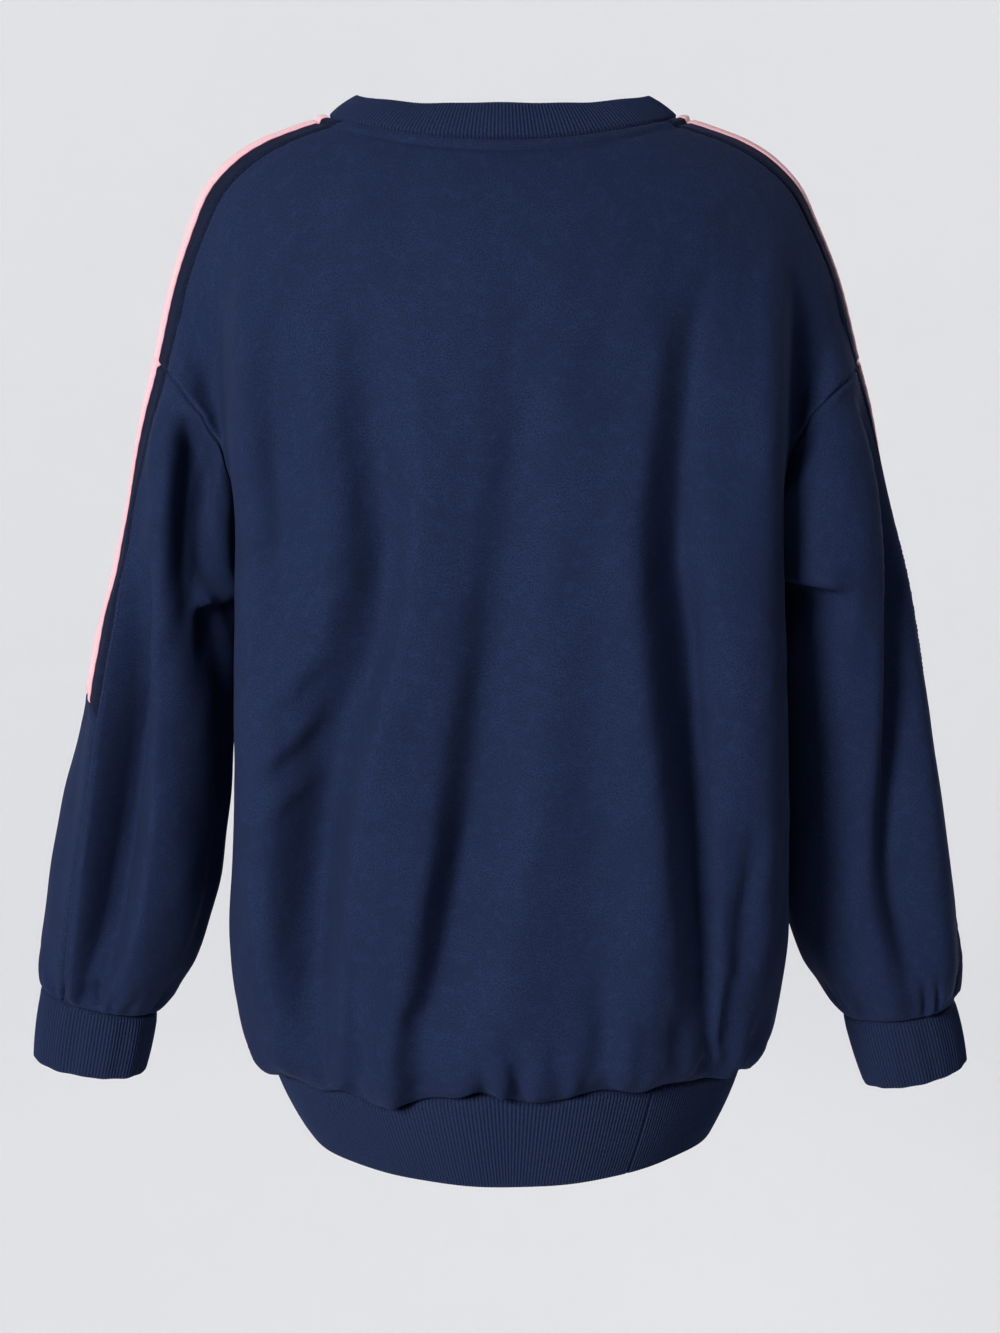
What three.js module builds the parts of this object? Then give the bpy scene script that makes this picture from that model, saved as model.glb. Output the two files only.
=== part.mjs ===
// A crewneck sweatshirt as it hangs when it is worn: hollow, its sleeves straight down at its sides.
// Millimetres, +Z up. The front faces -Y and +X is the wearer's left.
// The origin is midway between the two points where the shoulders meet the neckline.
import * as THREE from "three";

// Thickness of each cloth, and the gap that a seam leaves between two pieces.
const FLEECE = 1.8;
const RIB_KNIT = 2.6;
const TAPE = 1.0;
const SEAM_GAP = 0.4;

// Faces of the body and the wearer's two sides.
const BACK = 1;
const FRONT = -1;
const LEFT = 1;
const RIGHT = -1;

// Heights of the main seams.
const JUNCTION_Z = -190;
const UNDERARM_Z = -300;
const HEM_SEAM_Z = -622;
const HEM_EDGE_Z = -684;
const HEM_SIDE_DROP = 14;

// The neckline, seen from above, is two half ovals that meet over the shoulders.
const NECK = { halfWidth: 115, back: 60, front: 85 };
const COLLAR = { height: 25, rows: 1, leanBack: 22, leanSide: 55, leanFront: 38 };

// The insert along the shoulder and down the sleeve, and the band laid on it.
const INSERT = { half: 28, halfAtArmhole: 31, halfOnSleeve: 33, dip: 7, endZ: -393, peak: 10, seamZ: -156 };
const INSERT_ACROSS = [-1, -0.53, 0, 0.53, 1];
const BAND = { first: 1, last: 3, rise: 0.5, gap: 1.2 };
const INSERT_TURN = { [LEFT]: 9, [RIGHT]: -9 };
const SLEEVE_TURN = { [LEFT]: 24, [RIGHT]: -20 };

// Outer reach of the shoulders and upper arms, by height.
const REACH = [
  { z: 8, reach: 92 },
  { z: 4, reach: 103 },
  { z: 0, reach: 115 },
  { z: -3, reach: 127 },
  { z: -8, reach: 142 },
  { z: -15, reach: 160 },
  { z: -27, reach: 179 },
  { z: -47, reach: 197 },
  { z: -67, reach: 206 },
  { z: -107, reach: 221 },
  { z: -150, reach: 232 },
  { z: -205, reach: 245 },
  { z: -245, reach: 253 },
  { z: -300, reach: 265 },
];

// Depth of the body in front of and behind the shoulder line, and how square its section is.
const DEPTH = [
  { z: 8, back: 30, front: 22 },
  { z: 0, back: 46, front: 32 },
  { z: -14, back: 61, front: 44 },
  { z: -50, back: 88, front: 70 },
  { z: -80, back: 103, front: 86 },
  { z: -120, back: 116, front: 102 },
  { z: -180, back: 127, front: 118 },
  { z: -250, back: 134, front: 128 },
  { z: -340, back: 140, front: 131 },
  { z: -430, back: 147, front: 131 },
  { z: -510, back: 155, front: 134 },
  { z: -565, back: 161, front: 140 },
  { z: -600, back: 163, front: 143 },
  { z: -614, back: 158, front: 138 },
  { z: -622, back: 149, front: 130 },
  { z: -650, back: 150, front: 131 },
  { z: -684, back: 150, front: 130 },
];

// The torso below the shoulders: half width, sideways shift, section exponent and the dent an arm makes.
const TORSO = [
  { z: -180, half: 180, shift: -2, square: 3.3, dent: 6 },
  { z: -250, half: 182, shift: -2, square: 3.7, dent: 12 },
  { z: -300, half: 183, shift: -3, square: 3.8, dent: 14 },
  { z: -400, half: 186, shift: -5, square: 3.6, dent: 14 },
  { z: -470, half: 188, shift: -7, square: 3.3, dent: 9 },
  { z: -530, half: 189, shift: -7, square: 3.0, dent: 0 },
  { z: -575, half: 186, shift: -6, square: 2.7, dent: 0 },
  { z: -600, half: 181, shift: -6, square: 2.5, dent: 0 },
  { z: -615, half: 174, shift: -5, square: 2.35, dent: 0 },
  { z: -622, half: 163, shift: -5, square: 2.2, dent: 0 },
  { z: -650, half: 155, shift: -6, square: 2.05, dent: 0 },
  { z: -684, half: 143, shift: -6, square: 1.95, dent: 0 },
];

// The sleeve as a tube: its inner and outer reach from the centre line, half depth and centre in depth.
const SLEEVE = [
  { z: -100, outer: 219, inner: 150, deep: 64, y: 2 },
  { z: -150, outer: 232, inner: 160, deep: 66, y: 2 },
  { z: -205, outer: 245, inner: 172, deep: 68, y: 1 },
  { z: -265, outer: 257, inner: 176, deep: 68, y: 0 },
  { z: -325, outer: 272, inner: 179, deep: 67, y: -1 },
  { z: -386, outer: 285, inner: 182, deep: 66, y: -3 },
  { z: -449, outer: 299, inner: 186, deep: 65, y: -6 },
  { z: -512, outer: 311, inner: 192, deep: 63, y: -9 },
  { z: -550, outer: 317, inner: 202, deep: 60, y: -11 },
  { z: -575, outer: 320, inner: 212, deep: 56, y: -12 },
  { z: -590, outer: 319, inner: 222, deep: 51, y: -13 },
  { z: -610, outer: 316, inner: 234, deep: 42, y: -14 },
];

// The cuffs: centre, half width and half depth of the seam and of the edge, and how far each rises outwards.
const CUFFS = {
  [LEFT]: {
    seam: { x: 280, y: -14, z: -604, half: 39, deep: 36, rise: 0.25 },
    edge: { x: 289, y: -17, z: -653, half: 38, deep: 34, rise: 0.17 },
  },
  [RIGHT]: {
    seam: { x: 279, y: -14, z: -611, half: 38, deep: 36, rise: 0.13 },
    edge: { x: 292, y: -17, z: -659, half: 35, deep: 33, rise: 0.24 },
  },
};

// The whole garment sways a little to one side and back on its way down.
const SWAY = [
  { z: -60, x: 0 },
  { z: -110, x: -1.5 },
  { z: -205, x: -2.5 },
  { z: -265, x: -3.5 },
  { z: -325, x: -2.5 },
  { z: -390, x: -1 },
  { z: -450, x: 0.5 },
  { z: -520, x: 2 },
  { z: -600, x: 2 },
];

// The armhole seam over the back and the front of the arm, from the insert down to the junction row.
const ARMHOLE = [
  { at: 0, x: 226, z: -163 },
  { at: 0.33, x: 218, z: -169 },
  { at: 0.66, x: 208, z: -179 },
  { at: 1, x: 197, z: -190 },
];
const CREASE = { x: 187, topZ: -60, deepZ: -205, depth: 24, inner: 13, outer: 20 };

// Folds of the body, measured round from the middle of each face towards the wearer's left.
// lift is outwards, so a trough has a negative one; leftWidth and rightWidth are its two flanks.
const BACK_FOLDS = [
  { top: -115, low: -350, from: 128, by: 138, to: 142, leftWidth: 14, rightWidth: 12, lift: -4 },
  { top: -85, low: -320, from: 112, by: 112, to: 116, leftWidth: 14, rightWidth: 14, lift: 4 },
  { top: -110, low: -350, from: 93, by: 90, to: 86, leftWidth: 14, rightWidth: 16, lift: -6 },
  { top: -240, low: -590, from: 62, by: 78, to: 112, leftWidth: 26, rightWidth: 30, lift: 6 },
  { top: -180, low: -615, from: 6, by: 20, to: 70, leftWidth: 14, rightWidth: 22, lift: -12 },
  { top: -430, low: -615, from: -25, by: -12, to: 18, leftWidth: 16, rightWidth: 18, lift: 6 },
  { top: -500, low: -618, from: -62, by: -62, to: -50, leftWidth: 11, rightWidth: 10, lift: -7 },
  { top: -120, low: -618, from: -92, by: -106, to: -120, leftWidth: 34, rightWidth: 12, lift: -13 },
  { top: -70, low: -560, from: -128, by: -134, to: -142, leftWidth: 12, rightWidth: 18, lift: 5 },
  { top: -470, low: -618, from: -166, by: -152, to: -142, leftWidth: 14, rightWidth: 11, lift: -8 },
  { top: -410, low: -618, from: 130, by: 150, to: 138, leftWidth: 16, rightWidth: 14, lift: -9 },
  { top: -560, low: -622, from: 101, by: 100, to: 98, leftWidth: 9, rightWidth: 8, lift: -6 },
  { top: -555, low: -622, from: 80, by: 78, to: 75, leftWidth: 11, rightWidth: 11, lift: 7 },
  { top: -555, low: -622, from: -10, by: -12, to: -15, leftWidth: 12, rightWidth: 12, lift: 6 },
];
const FRONT_FOLDS = [
  { top: -120, low: -430, from: 122, by: 118, to: 100, leftWidth: 14, rightWidth: 18, lift: -6 },
  { top: -250, low: -615, from: 84, by: 70, to: 88, leftWidth: 22, rightWidth: 24, lift: 6 },
  { top: -260, low: -618, from: 40, by: 36, to: 48, leftWidth: 15, rightWidth: 22, lift: -10 },
  { top: -400, low: -618, from: 4, by: -6, to: -4, leftWidth: 18, rightWidth: 16, lift: 6 },
  { top: -300, low: -618, from: -52, by: -48, to: -40, leftWidth: 24, rightWidth: 13, lift: -10 },
  { top: -130, low: -480, from: -112, by: -108, to: -96, leftWidth: 18, rightWidth: 14, lift: -6 },
  { top: -440, low: -618, from: -130, by: -124, to: -126, leftWidth: 14, rightWidth: 12, lift: -8 },
  { top: -450, low: -618, from: 132, by: 136, to: 128, leftWidth: 12, rightWidth: 14, lift: -8 },
];

// Folds of a sleeve: degrees round it from its outer line, towards the back.
const LEFT_SLEEVE_FOLDS = [
  { top: -185, low: -360, from: 96, by: 92, to: 84, leftWidth: 18, rightWidth: 12, lift: -7 },
  { top: -330, low: -590, from: 66, by: 60, to: 56, leftWidth: 14, rightWidth: 16, lift: -7 },
  { top: -300, low: -585, from: 86, by: 88, to: 92, leftWidth: 14, rightWidth: 16, lift: 4 },
  { top: -380, low: -592, from: 116, by: 112, to: 104, leftWidth: 16, rightWidth: 16, lift: -6 },
  { top: -270, low: -360, from: 142, by: 138, to: 146, leftWidth: 14, rightWidth: 12, lift: 5 },
  { top: -250, low: -560, from: -84, by: -80, to: -70, leftWidth: 18, rightWidth: 16, lift: -6 },
  { top: -400, low: -590, from: -120, by: -116, to: -110, leftWidth: 16, rightWidth: 18, lift: -5 },
];
const RIGHT_SLEEVE_FOLDS = [
  { top: -160, low: -470, from: 66, by: 62, to: 60, leftWidth: 12, rightWidth: 14, lift: 5 },
  { top: -180, low: -440, from: 92, by: 88, to: 82, leftWidth: 14, rightWidth: 14, lift: -5 },
  { top: -300, low: -340, from: 128, by: 126, to: 128, leftWidth: 14, rightWidth: 12, lift: -6 },
  { top: -420, low: -590, from: 52, by: 60, to: 70, leftWidth: 16, rightWidth: 14, lift: 5 },
  { top: -480, low: -592, from: 92, by: 92, to: 90, leftWidth: 12, rightWidth: 12, lift: -7 },
  { top: -400, low: -590, from: 116, by: 118, to: 118, leftWidth: 18, rightWidth: 18, lift: -5 },
  { top: -230, low: -560, from: -76, by: -82, to: -76, leftWidth: 16, rightWidth: 18, lift: -6 },
  { top: -380, low: -590, from: -118, by: -112, to: -112, leftWidth: 18, rightWidth: 16, lift: -5 },
];
const SLEEVE_FOLDS = { [LEFT]: LEFT_SLEEVE_FOLDS, [RIGHT]: RIGHT_SLEEVE_FOLDS };

// Gathers where the full cloth meets a rib.
const HEM_GATHERS = { count: 22, reach: 42, depth: 3.2 };
const CUFF_GATHERS = { count: 9, reach: 34, depth: 3 };

// How finely each piece is divided.
const COLUMNS = { [BACK]: 15, [FRONT]: 14 };
const NECK_COLUMNS = { [BACK]: 6, [FRONT]: 5 };
const ROWS = { yoke: 6, armhole: 6, torso: 13, hem: 2 };
const SHOULDER_STEPS = 9;
const SLEEVE_ROWS = { striped: 7, plain: 8 };
const RIB_PITCH = 6;
const RIB_RISE = 0.6;

const TORSO_SPREAD = 1.3;
const SLEEVE_SPREAD = 1.35;
const SMALL_STEPS = 40;
const FINE_RIDGE = 240;

function smooth(low, high, value) {
  const t = Math.min(1, Math.max(0, (value - low) / (high - low)));
  return t * t * (3 - 2 * t);
}

function mix(a, b, t) {
  return a + (b - a) * t;
}

// A smooth curve through one column of a table, by another column, with no overshoot.
function curve(table, key, by = "z") {
  const rows = [...table].sort((a, b) => a[by] - b[by]);
  const secant = rows.slice(1).map((row, i) => (row[key] - rows[i][key]) / (row[by] - rows[i][by]));
  const slope = rows.map((_, i) => {
    if (i === 0) return secant[0];
    if (i === rows.length - 1) return secant[i - 1];
    const product = secant[i - 1] * secant[i];
    return product <= 0 ? 0 : (2 * product) / (secant[i - 1] + secant[i]);
  });
  return (at) => {
    let i = 0;
    while (i < rows.length - 2 && at > rows[i + 1][by]) i++;
    const span = rows[i + 1][by] - rows[i][by];
    const t = Math.min(1, Math.max(0, (at - rows[i][by]) / span));
    const value = new THREE.Vector2(rows[i][key], rows[i + 1][key]);
    return (
      value.x * (1 + 2 * t) * (1 - t) ** 2 +
      value.y * t * t * (3 - 2 * t) +
      span * (slope[i] * t * (1 - t) ** 2 - slope[i + 1] * t * t * (1 - t))
    );
  };
}

// Where a rising function crosses zero.
function crossing(f, low, high) {
  for (let step = 0; step < SMALL_STEPS; step++) {
    const middle = (low + high) / 2;
    if (f(middle) < 0) low = middle;
    else high = middle;
  }
  return (low + high) / 2;
}

const reachAt = curve(REACH, "reach");
const depthAt = { [BACK]: curve(DEPTH, "back"), [FRONT]: curve(DEPTH, "front") };
const torso = {
  half: curve(TORSO, "half"),
  shift: curve(TORSO, "shift"),
  square: curve(TORSO, "square"),
  dent: curve(TORSO, "dent"),
};
const sleeve = {
  outer: curve(SLEEVE, "outer"),
  inner: curve(SLEEVE, "inner"),
  deep: curve(SLEEVE, "deep"),
  y: curve(SLEEVE, "y"),
};
const armhole = { x: curve(ARMHOLE, "x", "at"), z: curve(ARMHOLE, "z", "at") };

// Depth of the shoulder dome at a place in the front view, with the crease between body and arm.
function domeDepth(face, x, z) {
  const bow = mix(2, 2.2, smooth(-40, -200, z));
  const share = Math.min(1, Math.abs(x) / reachAt(z));
  const dome = depthAt[face](z) * Math.pow(Math.max(0, 1 - Math.pow(share, bow)), 1 / bow);
  const across = Math.abs(x) - CREASE.x;
  const width = across < 0 ? CREASE.inner : CREASE.outer;
  const deep = CREASE.depth * smooth(CREASE.topZ, CREASE.deepZ, z);
  return dome - deep * Math.exp(-((across / width) ** 2));
}

// The ridge of the shoulder, evenly spaced from the neck outwards, and its outward direction.
const ridge = (() => {
  const points = [];
  const [top, low] = [8, -260];
  for (let i = 0; i <= FINE_RIDGE; i++) {
    const z = mix(top, low, (i / FINE_RIDGE) ** 2);
    points.push(new THREE.Vector3(reachAt(z), 0, z));
  }
  return new THREE.CatmullRomCurve3(points);
})();

// How far along the ridge the point beside it meets a test.
function ridgeWhere(y, test) {
  return crossing((at) => test(besideRidge(at, y)), 0, 1);
}

// A point on the shoulder beside the ridge: a distance y behind it, square to its slope.
function besideRidge(at, y) {
  const top = ridge.getPoint(at);
  const slope = ridge.getTangent(at);
  const face = y < 0 ? FRONT : BACK;
  const drop = crossing(
    (d) => {
      const x = top.x + slope.z * d;
      const z = top.z - slope.x * d;
      const share = Math.abs(x) / reachAt(z);
      return 1 - share ** 2 - (y / depthAt[face](z)) ** 2;
    },
    0,
    60,
  );
  return new THREE.Vector3(top.x + slope.z * drop, y, top.z - slope.x * drop);
}

// The insert on the shoulder: along runs from the neckline to the armhole, across from front to back.
function shoulderInsertPoint(hand, along, across) {
  const half = mix(INSERT.half, INSERT.halfAtArmhole, along);
  const y = across * half + INSERT_TURN[hand] * along;
  const oval = y > 0 ? NECK.back : NECK.front;
  const neckX = NECK.halfWidth * Math.sqrt(1 - (y / oval) ** 2);
  const start = ridgeWhere(y, (p) => p.x - neckX);
  const endZ = INSERT.seamZ - INSERT.dip * Math.abs(across);
  const end = ridgeWhere(y, (p) => endZ - p.z);
  const point = besideRidge(mix(start, end, along), y);
  point.x *= hand;
  return point;
}

// Height of the neckline's oval on the shoulders: down the dome until it is as deep as the oval.
function neckHeight(face, x, y) {
  const outside = (drop) => 1 - (x / reachAt(-drop)) ** 2 - (y / depthAt[face](-drop)) ** 2;
  return -crossing(outside, -8, 150);
}

function topEdge(face, hand, share) {
  const neckShare = NECK_COLUMNS[face] / COLUMNS[face];
  if (share < neckShare) {
    const edge = shoulderInsertPoint(hand, 0, face);
    const oval = face === BACK ? NECK.back : NECK.front;
    const start = Math.asin(Math.abs(edge.y) / oval);
    const turn = mix(Math.PI / 2, start, share / neckShare);
    const x = NECK.halfWidth * Math.cos(turn);
    const y = oval * Math.sin(turn);
    return new THREE.Vector3(x, face * y, neckHeight(face, x, y));
  }
  const point = shoulderInsertPoint(hand, (share - neckShare) / (1 - neckShare), face);
  point.x = Math.abs(point.x);
  return point;
}

// How the columns of a face are spread from its middle to its side.
function torsoShare(share) {
  return (Math.PI / 2) * share ** 1.5;
}

function yokeShare(share) {
  return mix(share, Math.sin(torsoShare(share)) ** 0.57, 0.5);
}

// One place of a face above the junction row: a blend of its four edges in the front view.
function yokePoint(face, hand, share, up) {
  const top = topEdge(face, hand, share);
  const corner = topEdge(face, hand, 1);
  const middleTop = topEdge(face, hand, 0);
  const low = { x: armhole.x(1) * yokeShare(share), z: JUNCTION_Z };
  const side = { x: armhole.x(1 - up), z: armhole.z(1 - up) };
  const lift = smooth(0, 1, up);
  const offCorner = { x: corner.x - armhole.x(0), z: corner.z - armhole.z(0) };
  side.x += offCorner.x * lift;
  side.z += offCorner.z * lift;
  const middle = { x: 0, z: mix(JUNCTION_Z, middleTop.z, up) };
  const blend = (key, lowCorner) =>
    mix(low[key], top[key], up) +
    mix(middle[key], side[key], share) -
    mix(mix(key === "z" ? JUNCTION_Z : 0, middleTop[key], up), mix(lowCorner, corner[key], up), share);
  const x = blend("x", armhole.x(1));
  const z = blend("z", JUNCTION_Z);
  if (up === 1) return new THREE.Vector3(hand * top.x, top.y, top.z);
  return new THREE.Vector3(hand * x, face * domeDepth(face, x, z), z);
}

// One place of a face below the junction row: shoulder section above, torso section below.
function torsoPoint(face, hand, share, z) {
  const angle = torsoShare(share);
  const power = 2 / torso.square(z);
  const depth = depthAt[face](z) * Math.cos(angle) ** power;
  const sunk = torso.dent(z) * Math.exp(-((depth / 48) ** 2));
  const width = torso.half(z) * Math.sin(angle) ** power - sunk;
  const upper = smooth(UNDERARM_Z, JUNCTION_Z, z);
  const seamX = mix(armhole.x(1), CREASE.x, smooth(JUNCTION_Z, -215, z));
  const domeX = seamX * yokeShare(share);
  const x = mix(width, domeX, upper);
  const y = mix(depth, domeDepth(face, domeX, z), upper);
  const shift = torso.shift(z) * (1 - smooth(-420, -200, z) * smooth(0.6, 1, share));
  return new THREE.Vector3(hand * x + shift * (1 - smooth(-260, -190, z)), face * y, z);
}

function hemSeamZ(share) {
  return HEM_SEAM_Z - HEM_SIDE_DROP * smooth(0.45, 1, share);
}

function facePoint(face, hand, share, row) {
  if (row <= ROWS.yoke) return yokePoint(face, hand, share, 1 - row / ROWS.yoke);
  const below = row - ROWS.yoke;
  if (below <= ROWS.armhole) {
    return torsoPoint(face, hand, share, mix(JUNCTION_Z, UNDERARM_Z, below / ROWS.armhole));
  }
  const down = (below - ROWS.armhole) / ROWS.torso;
  const spread = Math.sin(down * TORSO_SPREAD) / Math.sin(TORSO_SPREAD);
  const point = torsoPoint(face, hand, share, mix(UNDERARM_Z, HEM_SEAM_Z, spread));
  point.z = mix(UNDERARM_Z, hemSeamZ(share), spread);
  return point;
}

// Columns of a face run anticlockwise seen from above: the back from the left side, the front from the right.
function faceRow(face, row) {
  const count = COLUMNS[face];
  const points = [];
  for (let column = -count; column <= count; column++) {
    const hand = column * face <= 0 ? LEFT : RIGHT;
    points.push(facePoint(face, hand, Math.abs(column) / count, row));
  }
  return points;
}

// Each fold fades in over its first quarter and out over its last tenth.
function foldLift(folds, around, z) {
  let lift = 0;
  for (const fold of folds) {
    const t = (fold.top - z) / (fold.top - fold.low);
    if (t <= 0 || t >= 1.05) continue;
    const at = fold.from * (1 - t) ** 2 + 2 * (2 * fold.by - (fold.from + fold.to) / 2) * t * (1 - t) + fold.to * t * t;
    const off = around - at;
    const width = off > 0 ? fold.leftWidth : fold.rightWidth;
    lift += fold.lift * smooth(0, 0.3, t) * (1 - smooth(0.93, 1.05, t)) * Math.exp(-((off / width) ** 2));
  }
  return lift;
}

// Gathers of uneven spacing and length that run up from a ribbed seam.
function gatherLift(gathers, turn, above) {
  if (above > gathers.reach * 1.3) return 0;
  const wave = turn * gathers.count + 0.7 * Math.sin(turn * Math.PI * 6) + 0.4 * Math.sin(turn * Math.PI * 14);
  const uneven = 0.65 + 0.35 * Math.sin(turn * Math.PI * 10 + 1);
  const fade = smooth(0, 8, above) * (1 - smooth(gathers.reach * 0.3, gathers.reach * (0.8 + 0.5 * uneven), above));
  return gathers.depth * uneven * fade * Math.sin(wave * 2 * Math.PI);
}

function foldBody(face, grid) {
  return grid.map((points, row) => {
    const middle = COLUMNS[face];
    const lengths = [0];
    for (let i = 1; i < points.length; i++) lengths.push(lengths[i - 1] + points[i].distanceTo(points[i - 1]));
    return points.map((point, i) => {
      const around = (lengths[middle] - lengths[i]) * face;
      const turn = Math.atan2(point.y, point.x) / (2 * Math.PI);
      const edge = smooth(1, 0.9, Math.abs(i - middle) / middle);
      const fromTop = smooth(0, 2.5, row);
      const above = point.z - grid[grid.length - 1][i].z;
      const folds = face === BACK ? BACK_FOLDS : FRONT_FOLDS;
      const lift = foldLift(folds, around, point.z) * edge * fromTop * smooth(0, 12, above);
      return lift + gatherLift(HEM_GATHERS, turn, above) * edge;
    });
  });
}

// The armhole loop: the front from the underarm up, the insert, then the back down to the underarm.
function sideEdge(face, hand) {
  const points = [];
  for (let row = 0; row <= ROWS.yoke + ROWS.armhole; row++) points.push(facePoint(face, hand, 1, row));
  return points;
}

function tubePoint(hand, turn, z) {
  const half = (sleeve.outer(z) - sleeve.inner(z)) / 2;
  const middle = (sleeve.outer(z) + sleeve.inner(z)) / 2;
  return new THREE.Vector3(
    hand * (middle + half * Math.cos(turn)),
    sleeve.y(z) + sleeve.deep(z) * Math.sin(turn),
    z,
  );
}

function cuffPoint(hand, ring, turn) {
  const along = Math.cos(turn) * ring.half;
  return new THREE.Vector3(
    hand * (ring.x + along),
    ring.y + ring.deep * Math.sin(turn),
    ring.z + ring.rise * along,
  );
}

// One column of a sleeve from the armhole to the cuff, on the tube, with its turn at each end.
function sleevePoint(hand, start, turns, along) {
  const turn = mix(turns.top, turns.low, smooth(0, 0.7, along));
  const cuffTop = cuffPoint(hand, CUFFS[hand].seam, turns.low);
  const z = mix(start.z, cuffTop.z, along);
  const point = tubePoint(hand, turn, z);
  const leave = 1 - smooth(0, 0.22, along);
  point.addScaledVector(start.clone().sub(tubePoint(hand, turns.top, start.z)), leave);
  const arrive = smooth(0.955, 1, along);
  point.lerp(cuffTop, arrive);
  return point;
}

function turnOf(hand, point) {
  const half = (sleeve.outer(point.z) - sleeve.inner(point.z)) / 2;
  const middle = (sleeve.outer(point.z) + sleeve.inner(point.z)) / 2;
  return Math.atan2((point.y - sleeve.y(point.z)) / sleeve.deep(point.z), (hand * point.x - middle) / half);
}

// The insert's turn on the tube at its two edges: wider and turned back or forward lower down.
function insertTurn(hand, across) {
  const middle = (SLEEVE_TURN[hand] * Math.PI) / 180;
  return middle + (across * INSERT.halfOnSleeve) / 60;
}

// Columns of the open part of a sleeve: from the insert's back edge round the underarm to its front edge.
function sleeveColumns(hand) {
  const back = sideEdge(BACK, hand);
  const front = sideEdge(FRONT, hand);
  const points = [...back, ...front.reverse().slice(1)];
  let last = 0;
  const turns = points.map((point) => {
    let turn = turnOf(hand, point);
    while (turn < last - 1) turn += 2 * Math.PI;
    last = turn;
    return turn;
  });
  const [from, to] = [insertTurn(hand, 1), insertTurn(hand, -1) + 2 * Math.PI];
  return points.map((start, i) => ({
    start,
    turns: { top: turns[i], low: mix(from, to, i / (points.length - 1)) },
  }));
}

function insertColumns(hand) {
  const columns = [];
  for (const across of INSERT_ACROSS) {
    const start = shoulderInsertPoint(hand, 1, across);
    columns.push({ across, start, turns: { top: turnOf(hand, start), low: insertTurn(hand, across) } });
  }
  return columns;
}

// Where the banded part of the insert ends: a shallow point, highest on the insert's middle.
const SLEEVE_DROP = INSERT.seamZ - CUFFS[LEFT].seam.z;
const EDGE_END = (INSERT.seamZ - INSERT.endZ) / SLEEVE_DROP;

function insertEnd(across) {
  return EDGE_END - (INSERT.peak / SLEEVE_DROP) * (1 - Math.abs(across));
}

function sleeveRowShares() {
  const shares = [];
  for (let i = 0; i <= SLEEVE_ROWS.striped; i++) shares.push((EDGE_END * i) / SLEEVE_ROWS.striped);
  for (let i = 1; i <= SLEEVE_ROWS.plain; i++) {
    const spread = Math.sin((i / SLEEVE_ROWS.plain) * SLEEVE_SPREAD) / Math.sin(SLEEVE_SPREAD);
    shares.push(mix(EDGE_END, 1, spread));
  }
  return shares;
}

function foldSleeve(hand, grid, fadeTop) {
  return grid.map((points, row) =>
    points.map((point) => {
      const turn = turnOf(hand, point);
      const degrees = (turn * 180) / Math.PI;
      const seam = CUFFS[hand].seam;
      const above = point.z - (seam.z + seam.rise * (hand * point.x - seam.x));
      const lift = foldLift(SLEEVE_FOLDS[hand], degrees, point.z) * smooth(0, 12, above);
      const gather = gatherLift(CUFF_GATHERS, (turn + hand) / (2 * Math.PI), above);
      return (lift + gather) * (fadeTop ? smooth(0, 2, row) : 1);
    }),
  );
}

// Rows of points run down and columns anticlockwise seen from above, so that row x column points out.
const pieces = [];
const normals = new Map();

function keyOf(point) {
  return point.toArray().map((value) => Math.round(value * 50)).join(" ");
}

function gridNormals(grid, closed) {
  const columns = grid[0].length;
  const limit = closed ? columns : columns - 1;
  const found = grid.map((row) => row.map(() => new THREE.Vector3()));
  for (let i = 0; i + 1 < grid.length; i++) {
    for (let j = 0; j < limit; j++) {
      const k = (j + 1) % columns;
      const down = grid[i + 1][k].clone().sub(grid[i][j]);
      const across = grid[i][k].clone().sub(grid[i + 1][j]);
      const normal = down.cross(across);
      for (const [row, column] of [[i, j], [i, k], [i + 1, j], [i + 1, k]]) found[row][column].add(normal);
    }
  }
  return found;
}

// Normals are summed over every piece that shares a point, so pieces meet square across a seam.
function shareNormals(list) {
  const sums = new Map();
  for (const piece of list) {
    const found = gridNormals(piece.grid, piece.closed);
    piece.grid.forEach((row, i) =>
      row.forEach((point, j) => {
        const key = keyOf(point);
        if (!sums.has(key)) sums.set(key, new THREE.Vector3());
        sums.get(key).add(found[i][j]);
      }),
    );
  }
  for (const piece of list) {
    piece.normals = piece.grid.map((row) => row.map((point) => sums.get(keyOf(point)).clone().normalize()));
  }
}

function swayAll(list) {
  const sway = curve(SWAY, "x");
  for (const piece of list) {
    for (const row of piece.grid) for (const point of row) point.x += sway(point.z);
  }
}

function applyFolds(list) {
  shareNormals(list);
  for (const piece of list) {
    if (!piece.lifts) continue;
    piece.grid = piece.grid.map((row, i) =>
      row.map((point, j) => point.clone().addScaledVector(piece.normals[i][j], piece.lifts[i][j])),
    );
  }
  shareNormals(list);
}

// Draws a piece's edges in from its seams, along the cloth.
function trimmed(grid, closed, amount) {
  const rows = grid.length;
  const columns = grid[0].length;
  const towards = (point, next, by) => point.clone().addScaledVector(next.clone().sub(point).normalize(), by);
  return grid.map((row, i) =>
    row.map((point, j) => {
      let moved = point;
      if (i === 0) moved = towards(moved, grid[1][j], amount);
      if (i === rows - 1) moved = towards(moved, grid[rows - 2][j], amount);
      if (!closed && j === 0) moved = towards(moved, row[1], amount);
      if (!closed && j === columns - 1) moved = towards(moved, row[columns - 2], amount);
      return moved;
    }),
  );
}

function offset(grid, directions, by) {
  return grid.map((row, i) => row.map((point, j) => point.clone().addScaledVector(directions[i][j], by)));
}

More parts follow.
